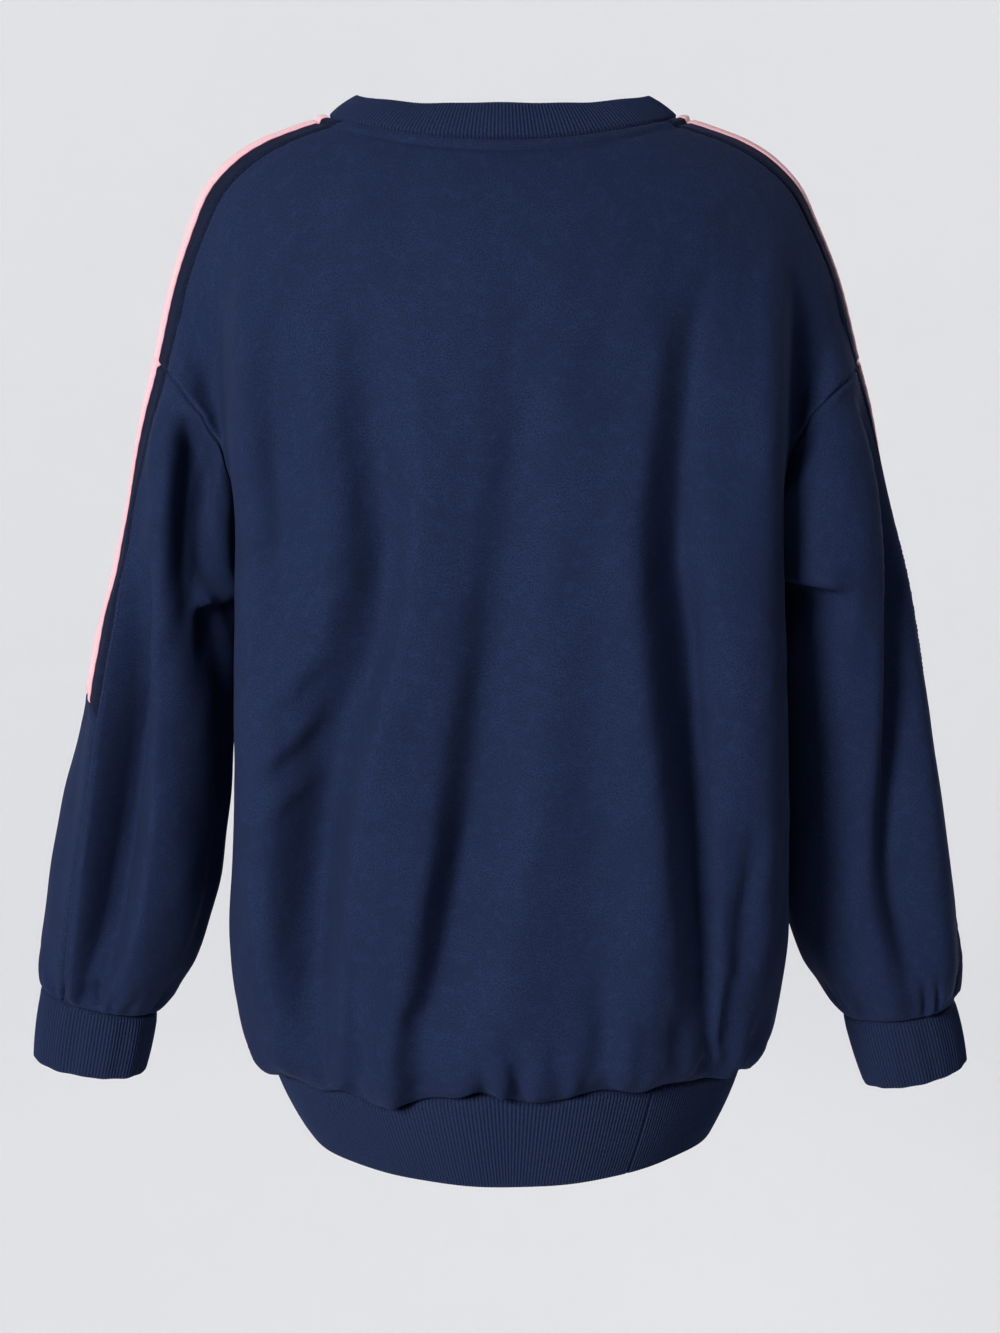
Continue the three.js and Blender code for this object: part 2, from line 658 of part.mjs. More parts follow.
// A closed wall between an outer and an inner sheet. The outer one may hold extra columns, for ribs.
function wallGeometry(outer, inner, closed, turned) {
  const positions = [];
  const index = [];
  const number = (grid) =>
    grid.map((row) =>
      row.map((point) => {
        positions.push(point.x, point.y, point.z);
        return positions.length / 3 - 1;
      }),
    );
  const out = number(outer);
  const back = number(inner);
  const quad = (a, b, c, d) => index.push(a, b, c, a, c, d);
  const sheet = (rows, flip) => {
    const columns = rows[0].length;
    const turnedAt = (i, j) => turned && turned[i].length === columns && turned[i][j];
    for (let i = 0; i + 1 < rows.length; i++) {
      for (let j = 0; j < (closed ? columns : columns - 1); j++) {
        const k = (j + 1) % columns;
        const corners = [rows[i][j], rows[i + 1][j], rows[i + 1][k], rows[i][k]];
        if (turnedAt(i, j)) corners.unshift(corners.pop());
        if (flip) quad(corners[0], corners[3], corners[2], corners[1]);
        else quad(...corners);
      }
    }
  };
  sheet(out, false);
  sheet(back, true);
  const rim = (i, flip) => {
    const ratio = outer[0].length / inner[0].length;
    const step = closed ? Math.round(ratio) : 1;
    const columns = inner[0].length;
    for (let j = 0; j < (closed ? columns : columns - 1); j++) {
      const k = (j + 1) % columns;
      for (let s = 0; s < step; s++) {
        const a = out[i][j * step + s];
        const b = out[i][(j * step + s + 1) % outer[0].length];
        index.push(...(flip ? [a, b, back[i][j]] : [b, a, back[i][j]]));
      }
      const last = out[i][(j * step + step) % outer[0].length];
      index.push(...(flip ? [last, back[i][k], back[i][j]] : [back[i][k], last, back[i][j]]));
    }
  };
  rim(0, true);
  rim(outer.length - 1, false);
  if (!closed) {
    const end = outer[0].length - 1;
    for (let i = 0; i + 1 < outer.length; i++) {
      quad(out[i][0], back[i][0], back[i + 1][0], out[i + 1][0]);
      quad(out[i + 1][end], back[i + 1][end], back[i][end], out[i][end]);
    }
  }
  const geometry = new THREE.BufferGeometry();
  geometry.setAttribute("position", new THREE.Float32BufferAttribute(positions, 3));
  geometry.setIndex(index);
  geometry.computeVertexNormals();
  return geometry;
}

// Divides each column of a closed grid and raises every second line into a rib.
function ribbed(grid, directions, ribsPerColumn) {
  const step = ribsPerColumn * 2;
  return grid.map((row, i) => {
    const points = [];
    row.forEach((point, j) => {
      const next = (j + 1) % row.length;
      for (let s = 0; s < step; s++) {
        const normal = directions[i][j].clone().lerp(directions[i][next], s / step).normalize();
        points.push(point.clone().lerp(row[next], s / step).addScaledVector(normal, s % 2 ? RIB_RISE : 0));
      }
    });
    return points;
  });
}

const navy = new THREE.MeshStandardMaterial({ color: 0x232c48, roughness: 0.9, metalness: 0 });
const navyRib = new THREE.MeshStandardMaterial({ color: 0x1c2440, roughness: 0.92, metalness: 0 });
const navyInsert = new THREE.MeshStandardMaterial({ color: 0x1b2138, roughness: 0.9, metalness: 0 });
const pink = new THREE.MeshStandardMaterial({ color: 0xf2b4c0, roughness: 0.8, metalness: 0 });

function addPiece(name, material, thickness, grid, options = {}) {
  const piece = { name, material, thickness, grid, closed: false, ...options };
  pieces.push(piece);
  return piece;
}

function handName(hand) {
  return hand === LEFT ? "left" : "right";
}

function buildBody() {
  for (const face of [BACK, FRONT]) {
    const grid = [];
    for (let row = 0; row <= ROWS.yoke + ROWS.armhole + ROWS.torso; row++) grid.push(faceRow(face, row));
    const name = face === BACK ? "back_panel" : "front_panel";
    addPiece(name, navy, FLEECE, grid, { lifts: foldBody(face, grid) });
  }
}

// Across each insert and cuff the order of columns is mirrored on the right, to stay anticlockwise.
function ordered(hand, columns) {
  return hand === LEFT ? columns : [...columns].reverse();
}

function buildShoulderInserts() {
  for (const hand of [LEFT, RIGHT]) {
    const grid = [];
    for (let i = 0; i <= SHOULDER_STEPS; i++) {
      const row = INSERT_ACROSS.map((across) => shoulderInsertPoint(hand, i / SHOULDER_STEPS, across));
      grid.push(ordered(hand, row));
    }
    addPiece(`${handName(hand)}_shoulder_insert`, navyInsert, FLEECE, grid);
  }
}

function buildSleeves() {
  const shares = sleeveRowShares();
  for (const hand of [LEFT, RIGHT]) {
    const columns = sleeveColumns(hand);
    const grid = shares.map((along) =>
      ordered(hand, columns.map(({ start, turns }) => sleevePoint(hand, start, turns, along))),
    );
    addPiece(`${handName(hand)}_sleeve`, navy, FLEECE, grid, { lifts: foldSleeve(hand, grid, true) });

    const strips = insertColumns(hand);
    const strip = (from, to, count) => {
      const rows = [];
      for (let i = from; i <= to; i++) {
        rows.push(
          ordered(
            hand,
            strips.map((column) => {
              const end = insertEnd(column.across);
              const along =
                i <= SLEEVE_ROWS.striped
                  ? (end * shares[i]) / EDGE_END
                  : mix(end, 1, (shares[i] - EDGE_END) / (1 - EDGE_END));
              return sleevePoint(hand, column.start, column.turns, along);
            }),
          ),
        );
      }
      return rows;
    };
    const total = SLEEVE_ROWS.striped + SLEEVE_ROWS.plain;
    const upper = strip(0, SLEEVE_ROWS.striped);
    const lower = strip(SLEEVE_ROWS.striped, total);
    addPiece(`${handName(hand)}_sleeve_insert`, navyInsert, FLEECE, upper, {
      lifts: foldSleeve(hand, upper, true),
    });
    addPiece(`${handName(hand)}_sleeve_strip`, navy, FLEECE, lower, {
      lifts: foldSleeve(hand, lower, false),
    });
  }
}

// The hem rib follows the lower edge of both faces, column for column.
function buildHem() {
  const ring = (down) => {
    const row = [];
    for (const face of [BACK, FRONT]) {
      const count = COLUMNS[face];
      for (let column = -count; column < count; column++) {
        const hand = column * face <= 0 ? LEFT : RIGHT;
        const share = Math.abs(column) / count;
        const point = torsoPoint(face, hand, share, mix(HEM_SEAM_Z, HEM_EDGE_Z, down));
        point.z = mix(hemSeamZ(share), HEM_EDGE_Z, down);
        row.push(point);
      }
    }
    return row;
  };
  const grid = [];
  for (let i = 0; i <= ROWS.hem; i++) grid.push(ring(i / ROWS.hem));
  addPiece("hem_rib", navyRib, RIB_KNIT, grid, { closed: true, rib: true });
}

function buildCuffs() {
  for (const hand of [LEFT, RIGHT]) {
    const turns = [
      ...insertColumns(hand).map((column) => column.turns.low),
      ...sleeveColumns(hand).slice(1, -1).map((column) => column.turns.low),
    ];
    const ring = (frame) => ordered(hand, turns.map((turn) => cuffPoint(hand, frame, turn)));
    addPiece(`${handName(hand)}_cuff`, navyRib, RIB_KNIT, [ring(CUFFS[hand].seam), ring(CUFFS[hand].edge)], {
      closed: true,
      rib: true,
    });
  }
}

// The neckline as one loop, anticlockwise from the left insert's back edge.
function necklineLoop() {
  const half = (face, hand) => {
    const points = [];
    for (let column = 0; column <= NECK_COLUMNS[face]; column++) {
      const point = topEdge(face, hand, column / COLUMNS[face]);
      points.push(new THREE.Vector3(hand * point.x, point.y, point.z));
    }
    return points;
  };
  const insert = (hand) => {
    const between = INSERT_ACROSS.slice(1, -1);
    return ordered(hand, between.map((across) => shoulderInsertPoint(hand, 0, across)));
  };
  return [
    ...half(BACK, LEFT).reverse(),
    ...half(BACK, RIGHT).slice(1),
    ...insert(RIGHT),
    ...half(FRONT, RIGHT).reverse(),
    ...half(FRONT, LEFT).slice(1),
    ...insert(LEFT),
  ];
}

function buildCollar() {
  const base = necklineLoop();
  const top = base.map((point) => {
    const inward = new THREE.Vector3(-point.x, -point.y, 0).normalize();
    const backness = inward.y;
    const end = backness < 0 ? COLLAR.leanBack : COLLAR.leanFront;
    const lean = THREE.MathUtils.degToRad(mix(COLLAR.leanSide, end, backness * backness));
    return point
      .clone()
      .addScaledVector(inward, COLLAR.height * Math.sin(lean))
      .add(new THREE.Vector3(0, 0, COLLAR.height * Math.cos(lean)));
  });
  const grid = [];
  for (let i = 0; i <= COLLAR.rows; i++) {
    grid.push(top.map((point, j) => point.clone().lerp(base[j], i / COLLAR.rows)));
  }
  addPiece("collar_rib", navyRib, RIB_KNIT, grid, { closed: true, rib: true });
}

// A band is laid on an insert: the insert's own middle, moved out by the cloth under it.
function buildBands() {
  const part = (row) => row.slice(BAND.first, BAND.last + 1);
  for (const hand of [LEFT, RIGHT]) {
    for (const place of ["shoulder", "sleeve"]) {
      const insert = pieces.find((piece) => piece.name === `${handName(hand)}_${place}_insert`);
      const grid = offset(insert.grid, insert.normals, BAND.rise + TAPE).map(part);
      addPiece(`${handName(hand)}_${place}_band`, pink, TAPE, grid, {
        normals: insert.normals.map(part),
        turned: insert.turned.map(part),
        gap: BAND.gap,
      });
    }
  }
}

// Each cell is split along its shorter diagonal; what is laid on a piece is split as that piece is.
function shorterDiagonals(grid) {
  return grid.slice(1).map((low, i) =>
    low.map((point, j) => {
      const k = (j + 1) % low.length;
      return grid[i][k].distanceTo(point) < grid[i][j].distanceTo(low[k]);
    }),
  );
}

buildBody();
buildShoulderInserts();
buildSleeves();
buildHem();
buildCuffs();
buildCollar();
swayAll(pieces);
applyFolds(pieces);
for (const piece of pieces) piece.turned = shorterDiagonals(piece.grid);
buildBands();

const sweatshirt = new THREE.Group();
sweatshirt.name = "sweatshirt";
for (const piece of pieces) {
  const grid = trimmed(piece.grid, piece.closed, (piece.gap ?? SEAM_GAP) / 2);
  const inner = offset(grid, piece.normals, -piece.thickness);
  let outer = grid;
  if (piece.rib) {
    const width = grid[0][0].distanceTo(grid[0][1]);
    outer = ribbed(grid, piece.normals, Math.max(1, Math.round(width / RIB_PITCH)));
  }
  const mesh = new THREE.Mesh(wallGeometry(outer, inner, piece.closed, piece.turned), piece.material);
  mesh.name = piece.name;
  sweatshirt.add(mesh);
}

export default sweatshirt;
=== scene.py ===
import math

import bpy
import numpy as np
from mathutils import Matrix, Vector


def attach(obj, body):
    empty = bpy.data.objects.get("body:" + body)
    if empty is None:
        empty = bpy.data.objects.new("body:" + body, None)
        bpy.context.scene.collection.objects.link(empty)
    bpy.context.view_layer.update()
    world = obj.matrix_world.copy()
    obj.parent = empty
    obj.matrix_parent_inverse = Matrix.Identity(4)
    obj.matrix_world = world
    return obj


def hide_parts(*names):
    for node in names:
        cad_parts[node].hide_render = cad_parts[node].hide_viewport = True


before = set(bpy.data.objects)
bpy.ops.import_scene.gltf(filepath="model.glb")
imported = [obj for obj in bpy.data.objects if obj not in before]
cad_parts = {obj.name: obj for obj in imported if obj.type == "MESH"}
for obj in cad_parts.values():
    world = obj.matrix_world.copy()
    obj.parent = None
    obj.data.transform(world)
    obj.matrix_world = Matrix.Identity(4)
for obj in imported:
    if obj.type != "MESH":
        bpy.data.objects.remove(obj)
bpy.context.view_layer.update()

bl_info = {
    "name": "Crewneck Sweatshirt",
    "version": (1, 0, 0),
    "blender": (4, 5, 0),
    "location": "View3D > Sidebar > Sweatshirt",
    "description": "Cuts, folds and sews a worn crewneck sweatshirt on its packed frame",
    "category": "Add Mesh",
}

BACK, FRONT, LEFT, RIGHT = 1, -1, 1, -1
HAND_NAMES = {LEFT: "left", RIGHT: "right"}
MM = 0.001

# All sizes of the pattern are in millimetres.
JUNCTION_Z, UNDERARM_Z, HEM_SEAM_Z, HEM_EDGE_Z = -190, -300, -622, -684
HEM_SIDE_DROP = 14
NECK = {"half": 115, BACK: 60, FRONT: 85}
COLLAR = {"height": 25, "back": 22, "side": 55, "front": 38}
INSERT = {
    "half": 28, "at_armhole": 31, "on_sleeve": 33, "dip": 7, "end_z": -393, "peak": 10, "seam_z": -156,
}
INSERT_TURN = {LEFT: 9, RIGHT: -9}
SLEEVE_TURN = {LEFT: 24, RIGHT: -20}
CREASE = {"x": 187, "top": -60, "deep": -205, "depth": 24, "inner": 13, "outer": 20}
NECK_SHARE = {BACK: 6 / 15, FRONT: 5 / 14}
PANEL_ROWS = {"yoke": 6, "armhole": 6, "torso": 13}
TORSO_SPREAD, SLEEVE_SPREAD = 1.3, 1.35
BAND_EDGE = 0.53
NECK_BAND = 8.5


class Table:
    """A short table with named columns, read through smooth curves that never overshoot."""

    def __init__(self, columns, *rows):
        self.columns = columns.split()
        self.rows = np.array(sorted(rows), dtype=float)

    def curve(self, name):
        by, values = self.rows[:, 0], self.rows[:, self.columns.index(name)]
        secant = np.diff(values) / np.diff(by)
        slope = np.zeros(len(by))
        slope[0], slope[-1] = secant[0], secant[-1]
        product = secant[:-1] * secant[1:]
        total = np.where(secant[:-1] + secant[1:] == 0, 1, secant[:-1] + secant[1:])
        slope[1:-1] = np.where(product > 0, 2 * product / total, 0)

        def at(where):
            where = np.asarray(where, dtype=float)
            i = np.clip(np.searchsorted(by, where) - 1, 0, len(by) - 2)
            span = by[i + 1] - by[i]
            t = np.clip((where - by[i]) / span, 0, 1)
            return (
                values[i] * (1 + 2 * t) * (1 - t) ** 2
                + values[i + 1] * t * t * (3 - 2 * t)
                + span * (slope[i] * t * (1 - t) ** 2 - slope[i + 1] * t * t * (1 - t))
            )

        return at


REACH = Table(
    "z reach",
    (8, 92), (4, 103), (0, 115), (-3, 127), (-8, 142), (-15, 160), (-27, 179), (-47, 197), (-67, 206),
    (-107, 221), (-150, 232), (-205, 245), (-245, 253), (-300, 265),
)
DEPTH = Table(
    "z back front",
    (8, 30, 22), (0, 46, 32), (-14, 61, 44), (-50, 88, 70), (-80, 103, 86), (-120, 116, 102),
    (-180, 127, 118), (-250, 134, 128), (-340, 140, 131), (-430, 147, 131), (-510, 155, 134),
    (-565, 161, 140), (-600, 163, 143), (-614, 158, 138), (-622, 149, 130), (-650, 150, 131),
    (-684, 150, 130),
)
TORSO = Table(
    "z half shift square dent",
    (-180, 180, -2, 3.3, 6), (-250, 182, -2, 3.7, 12), (-300, 183, -3, 3.8, 14), (-400, 186, -5, 3.6, 14),
    (-470, 188, -7, 3.3, 9), (-530, 189, -7, 3.0, 0), (-575, 186, -6, 2.7, 0), (-600, 181, -6, 2.5, 0),
    (-615, 174, -5, 2.35, 0), (-622, 163, -5, 2.2, 0), (-650, 155, -6, 2.05, 0), (-684, 143, -6, 1.95, 0),
)
SLEEVE = Table(
    "z outer inner deep y",
    (-100, 219, 150, 64, 2), (-150, 232, 160, 66, 2), (-205, 245, 172, 68, 1), (-265, 257, 176, 68, 0),
    (-325, 272, 179, 67, -1), (-386, 285, 182, 66, -3), (-449, 299, 186, 65, -6), (-512, 311, 192, 63, -9),
    (-550, 317, 202, 60, -11), (-575, 320, 212, 56, -12), (-590, 319, 222, 51, -13),
    (-610, 316, 234, 42, -14),
)
SWAY = Table(
    "z x",
    (-60, 0), (-110, -1.5), (-205, -2.5), (-265, -3.5), (-325, -2.5), (-390, -1), (-450, 0.5),
    (-520, 2), (-600, 2),
)
ARMHOLE = Table("at x z", (0, 226, -163), (0.33, 218, -169), (0.66, 208, -179), (1, 197, -190))
# The seam and the edge of each cuff: centre x, y and z, half width, half depth and outward rise.
CUFFS = {
    LEFT: {"seam": (280, -14, -604, 39, 36, 0.25), "edge": (289, -17, -653, 38, 34, 0.17)},
    RIGHT: {"seam": (279, -14, -611, 38, 36, 0.13), "edge": (292, -17, -659, 35, 33, 0.24)},
}

# Folds: top, low, where they start, pass and end, left and right flank, and lift outwards.
# Body folds are measured round from the middle of a face towards the wearer's left.
FRONT_FOLDS = (
    (-120, -430, 122, 118, 100, 14, 18, -6),
    (-250, -615, 84, 70, 88, 22, 24, 6),
    (-260, -618, 40, 36, 48, 15, 22, -10),
    (-400, -618, 4, -6, -4, 18, 16, 6),
    (-300, -618, -52, -48, -40, 24, 13, -10),
    (-130, -480, -112, -108, -96, 18, 14, -6),
    (-440, -618, -130, -124, -126, 14, 12, -8),
    (-450, -618, 132, 136, 128, 12, 14, -8),
)
# The front of each sleeve, in degrees round from the outer line towards the back.
SLEEVE_FOLDS = {
    LEFT: ((-250, -560, -84, -80, -70, 18, 16, -6), (-400, -590, -120, -116, -110, 16, 18, -5)),
    RIGHT: ((-230, -560, -76, -82, -76, 16, 18, -6), (-380, -590, -118, -112, -112, 18, 16, -5)),
}


def pleats(levels, *lines):
    """Crest and trough lines down the cloth: where each lies and how far it stands out, level by level."""
    return [Table("z at high", *zip(levels, places, heights)) for places, heights in lines]


# The back hangs in long slanting folds. Places are across it, towards the wearer's left.
BACK_PLEATS = pleats(
    (-80, -142, -205, -268, -332, -397, -463, -529, -597),
    ((184, 184, 184, 184, 186, 187, 187, 187, 182), (-3, -7, -9, -4, 22, 30, 30, 24, 10)),
    ((170, 171, 171, 171, 174, 176, 178, 178, 172), (5, 13, 19, 22, 27, 31, 30, 24, 10)),
    ((139, 138, 137, 140, 150, 166, 168, 167, 162), (-3, 0, 2, 5, 12, 26, 27, 21, 9)),
    ((111, 110, 109, 105, 126, 150, 156, 156, 150), (1, 3, 5, 6, 9, 18, 20, 16, 7)),
    ((88, 84, 80, 74, 82, 104, 114, 118, 116), (-2, -5, -9, -12, -14, -21, -28, -25, -11)),
    ((52, 50, 48, 54, 64, 82, 95, 100, 104), (0, 2, 5, 8, 11, 12, 11, 9, 4)),
    ((20, 18, 16, 22, 32, 42, 50, 62, 76), (0, 1, 3, 5, 8, 10, 11, 9, 4)),
    ((-4, -6, -6, -2, 8, 16, 25, 38, 52), (0, 0, -2, -3, -5, -10, -16, -15, -7)),
    ((-34, -34, -34, -36, -32, -26, -18, -8, 6), (0, 2, 4, 6, 7, 8, 8, 7, 3)),
    ((-60, -60, -58, -58, -60, -58, -58, -54, -48), (0, 1, 3, 5, 5, 4, 3, 2, 1)),
    ((-92, -94, -88, -82, -86, -93, -99, -102, -99), (0, 2, 6, 10, 11, 11, 11, 10, 5)),
    ((-129, -120, -114, -113, -119, -124, -129, -133, -135), (-3, -8, -13, -20, -23, -24, -22, -19, -9)),
    ((-140, -130, -122, -121, -127, -132, -137, -141, -142), (0, -3, -6, -9, -9, -8, -6, -7, -2)),
    ((-160, -157, -155, -155, -158, -160, -158, -154, -150), (2, 4, 6, 8, 12, 13, 3, -6, -4)),
    ((-178, -178, -178, -178, -179, -180, -180, -178, -174), (5, 10, 15, 17, 20, 21, 15, 8, 2)),
    ((-189, -189, -189, -189, -190, -190, -190, -188, -184), (-5, -9, -9, 0, 15, 19, 15, 8, 2)),
)
# Places are degrees round a sleeve from its outer line towards the back.
SLEEVE_LEVELS = (-205, -268, -332, -397, -463, -529, -585)
SLEEVE_PLEATS = {
    LEFT: pleats(
        SLEEVE_LEVELS,
        ((8, 10, 16, 28, 36, 36, 36), (0, 0, 0, 0, 0, 0, 0)),
        ((44, 46, 50, 56, 60, 62, 62), (3, 4, 6, 8, 8, 7, 3)),
        ((52, 56, 61, 67, 71, 73, 72), (5, 2, -12, -22, -24, -19, -8)),
        ((60, 66, 74, 82, 88, 89, 88), (8, 4, -15, -28, -30, -24, -10)),
        ((74, 80, 86, 94, 100, 101, 100), (9, 8, 6, 6, 7, 6, 2)),
        ((92, 98, 116, 140, 146, 144, 138), (-15, -13, -3, 0, 0, 0, 0)),
        ((118, 120, 138, 156, 160, 158, 152), (-17, -15, -6, -4, -4, -4, -2)),
        ((140, 142, 158, 172, 174, 172, 168), (0, 0, 0, 0, 0, 0, 0)),
    ),
    RIGHT: pleats(
        SLEEVE_LEVELS,
        ((-6, 0, 4, 8, 12, 14, 14), (0, 0, 0, 0, 0, 0, 0)),
        ((16, 20, 28, 36, 43, 46, 46), (1, 3, 5, 7, 9, 9, 4)),
        ((34, 40, 50, 61, 72, 76, 76), (-4, -9, -12, -15, -15, -12, -5)),
        ((50, 60, 72, 80, 90, 96, 96), (6, 10, 8, 5, 2, 2, 1)),
        ((96, 100, 106, 112, 120, 122, 120), (12, 17, 8, 1, -3, -5, -3)),
        ((134, 136, 140, 142, 146, 146, 142), (14, 19, 9, 3, -1, -2, -1)),
        ((168, 168, 168, 168, 168, 166, 160), (5, 6, 3, 0, 0, 0, 0)),
    ),
}
# Where the spare cloth under an arm laps over itself: from and to in degrees, height, lap and hollow.
UNDERARM_LAPS = {LEFT: (122, 168, -318, 7, 8), RIGHT: (92, 160, -300, 7, 12)}

# Finer folds that only cloth holds, with the same columns as the sleeve folds.
FINE_FOLDS = {
    BACK: (
        (-150, -420, 152, 150, 150, 5, 7, -1.6),
        (-100, -330, 124, 120, 118, 6, 6, 1.6),
        (-120, -620, -121, -117, -138, 3, 5, -2.0),
        (-520, -621, 101, 101, 99, 7, 6, -4.5),
        (-550, -621, 60, 57, 54, 13, 9, -4.5),
        (-580, -621, 78, 78, 78, 6, 6, 3.0),
        (-590, -621, 17, 16, 15, 4, 4, -3.0),
        (-592, -621, -6, -7, -8, 4, 4, -2.6),
        (-585, -621, 4, 4, 3, 5, 5, 2.0),
        (-530, -621, -58, -61, -64, 9, 6, -5.0),
        (-560, -621, -78, -78, -78, 6, 6, 2.6),
        (-480, -621, -98, -99, -98, 3, 3, -1.6),
        (-560, -621, -110, -112, -114, 8, 6, -4.0),
        (-430, -600, -166, -158, -150, 7, 9, -4.0),
    ),
    FRONT: (
        (-95, -600, 168, 172, 168, 6, 16, 4.0),
        (-80, -600, -172, -176, -172, 16, 6, 4.0),
        (-560, -620, 60, 60, 58, 6, 7, 3.0),
        (-560, -620, 20, 20, 22, 6, 6, -2.6),
        (-565, -620, -24, -24, -22, 6, 6, 2.8),
        (-560, -620, -80, -78, -78, 7, 6, 3.0),
        (-570, -620, 104, 102, 100, 6, 6, 2.4),
        (-570, -620, -104, -102, -100, 6, 6, -2.4),
    ),
}
# Short pulls in the cloth: from around, from z, to around, to z, width and lift.
PULLS = {
    BACK: (
        (104, -268, 132, -288, 5, 2.0), (108, -284, 144, -304, 5, -2.0),
        (112, -332, 158, -356, 5, 2.2), (120, -350, 170, -390, 5, -2.4),
        (118, -370, 168, -408, 5, 2.6), (124, -392, 170, -424, 5, -2.4),
        (122, -412, 168, -440, 6, 2.2), (-150, -300, -182, -330, 7, 1.3),
        (150, -255, 182, -268, 7, 1.6), (-118, -520, -168, -560, 8, 1.6), (96, -520, 60, -566, 8, 1.4),
    ),
    FRONT: (
        (110, -230, 160, -252, 7, 1.6), (-108, -240, -160, -262, 7, 1.6),
        (60, -520, 112, -560, 8, 1.6), (-60, -530, -118, -566, 8, 1.6),
    ),
}

# Where the body's cloth hangs over the hem rib at the back: place across, half width and drop.
HEM_SCALLOPS = ((121, 16, 7), (78, 26, 13), (-21, 20, 6), (-92, 14, 5), (30, 8, 2))
SEAM_STEPS = (0.0, 0.45, 1.0, 1.7, 2.6, 3.8, 5.4, 7.2, 9.0)
NECK_STEPS = (0.0, 0.45, 1.0, 1.7, 2.6, 3.8, 5.2, 6.3, 7.1, 7.8, 8.3, 8.8, 9.4, 10.3, 11.8)


def smooth(low, high, value):
    t = np.clip((value - low) / (high - low), 0, 1)
    return t * t * (3 - 2 * t)


def mix(a, b, t):
    return a + (b - a) * t


def crossing(f, low, high, like):
    """Where a rising function crosses zero, for every member of an array at once."""
    low, high = np.full(np.shape(like), float(low)), np.full(np.shape(like), float(high))
    for _ in range(26):
        middle = (low + high) / 2
        below = f(middle) < 0
        low, high = np.where(below, middle, low), np.where(below, high, middle)
    return (low + high) / 2


def lengths(grid, axis):
    """Distance along the cloth from the first row or column."""
    steps = np.linalg.norm(np.diff(grid, axis=axis), axis=-1)
    start = np.zeros_like(np.take(steps, [0], axis=axis))
    return np.cumsum(np.concatenate([start, steps], axis=axis), axis=axis)


reach_at = REACH.curve("reach")
depth_at = {BACK: DEPTH.curve("back"), FRONT: DEPTH.curve("front")}
torso = {name: TORSO.curve(name) for name in ("half", "shift", "square", "dent")}
sleeve = {name: SLEEVE.curve(name) for name in ("outer", "inner", "deep", "y")}
armhole_x, armhole_z = ARMHOLE.curve("x"), ARMHOLE.curve("z")
sway_x = SWAY.curve("x")


def dome_depth(face, x, z):
    """Depth of the shoulder dome at a place in the front view, with the crease beside the arm."""
    bow = mix(2, 2.2, smooth(-40, -200, z))
    share = np.minimum(1, np.abs(x) / reach_at(z))
    dome = depth_at[face](z) * np.maximum(0, 1 - share**bow) ** (1 / bow)
    across = np.abs(x) - CREASE["x"]
    width = np.where(across < 0, CREASE["inner"], CREASE["outer"])
    deep = CREASE["depth"] * smooth(CREASE["top"], CREASE["deep"], z)
    return dome - deep * np.exp(-((across / width) ** 2))


def beside_ridge(at, y):
    """A point on the shoulder a distance y behind its ridge, square to the ridge's slope."""
    z = 8 - 268 * at**2
    x = reach_at(z)
    dz = -np.maximum(536 * at, 1e-3)
    dx = (reach_at(z + 0.05) - reach_at(z - 0.05)) / 0.1 * dz
    size = np.hypot(dx, dz)
    dx, dz = dx / size, dz / size
    face = np.where(y < 0, FRONT, BACK)

    def outside(d):
        low = z - dx * d
        depth = np.where(face == BACK, depth_at[BACK](low), depth_at[FRONT](low))
        return 1 - (np.abs(x + dz * d) / reach_at(low)) ** 2 - (y / depth) ** 2

    drop = crossing(outside, 0, 60, x)
    return x + dz * drop, z - dx * drop


def insert_on_shoulder(hand, along, across):
    """The shoulder insert: along runs from the neckline to the armhole, across from front to back."""
    along, across = np.broadcast_arrays(np.asarray(along, float), np.asarray(across, float))
    half = mix(INSERT["half"], INSERT["at_armhole"], along)
    y = across * half + INSERT_TURN[hand] * along
    oval = np.where(y > 0, NECK[BACK], NECK[FRONT])
    neck_x = NECK["half"] * np.sqrt(1 - (y / oval) ** 2)
    end_z = INSERT["seam_z"] - INSERT["dip"] * np.abs(across)
    start = crossing(lambda at: beside_ridge(at, y)[0] - neck_x, 0, 1, y)
    end = crossing(lambda at: end_z - beside_ridge(at, y)[1], 0, 1, y)
    x, z = beside_ridge(mix(start, end, along), y)
    return np.stack([hand * x, y, z], axis=-1)


def top_edge(face, hand, share):
    """The upper edge of a face: the neckline, then the edge of the insert."""
    corner = insert_on_shoulder(hand, 0, face)
    start = math.asin(abs(corner[1]) / NECK[face])
    turn = mix(np.pi / 2, start, np.minimum(1, share / NECK_SHARE[face]))
    x, y = NECK["half"] * np.cos(turn), NECK[face] * np.sin(turn)

    def outside(drop):
        return 1 - (x / reach_at(-drop)) ** 2 - (y / depth_at[face](-drop)) ** 2

    neck = np.stack([x, face * y, -crossing(outside, -8, 150, x)], axis=-1)
    along = np.clip((share - NECK_SHARE[face]) / (1 - NECK_SHARE[face]), 0, 1)
    beside = insert_on_shoulder(hand, along, np.full(np.shape(along), float(face)))
    beside[..., 0] = np.abs(beside[..., 0])
    return np.where((share < NECK_SHARE[face] - 1e-9)[..., None], neck, beside)


def torso_share(share):
    return (np.pi / 2) * share**1.5


def yoke_share(share):
    return mix(share, np.sin(torso_share(share)) ** 0.57, 0.5)


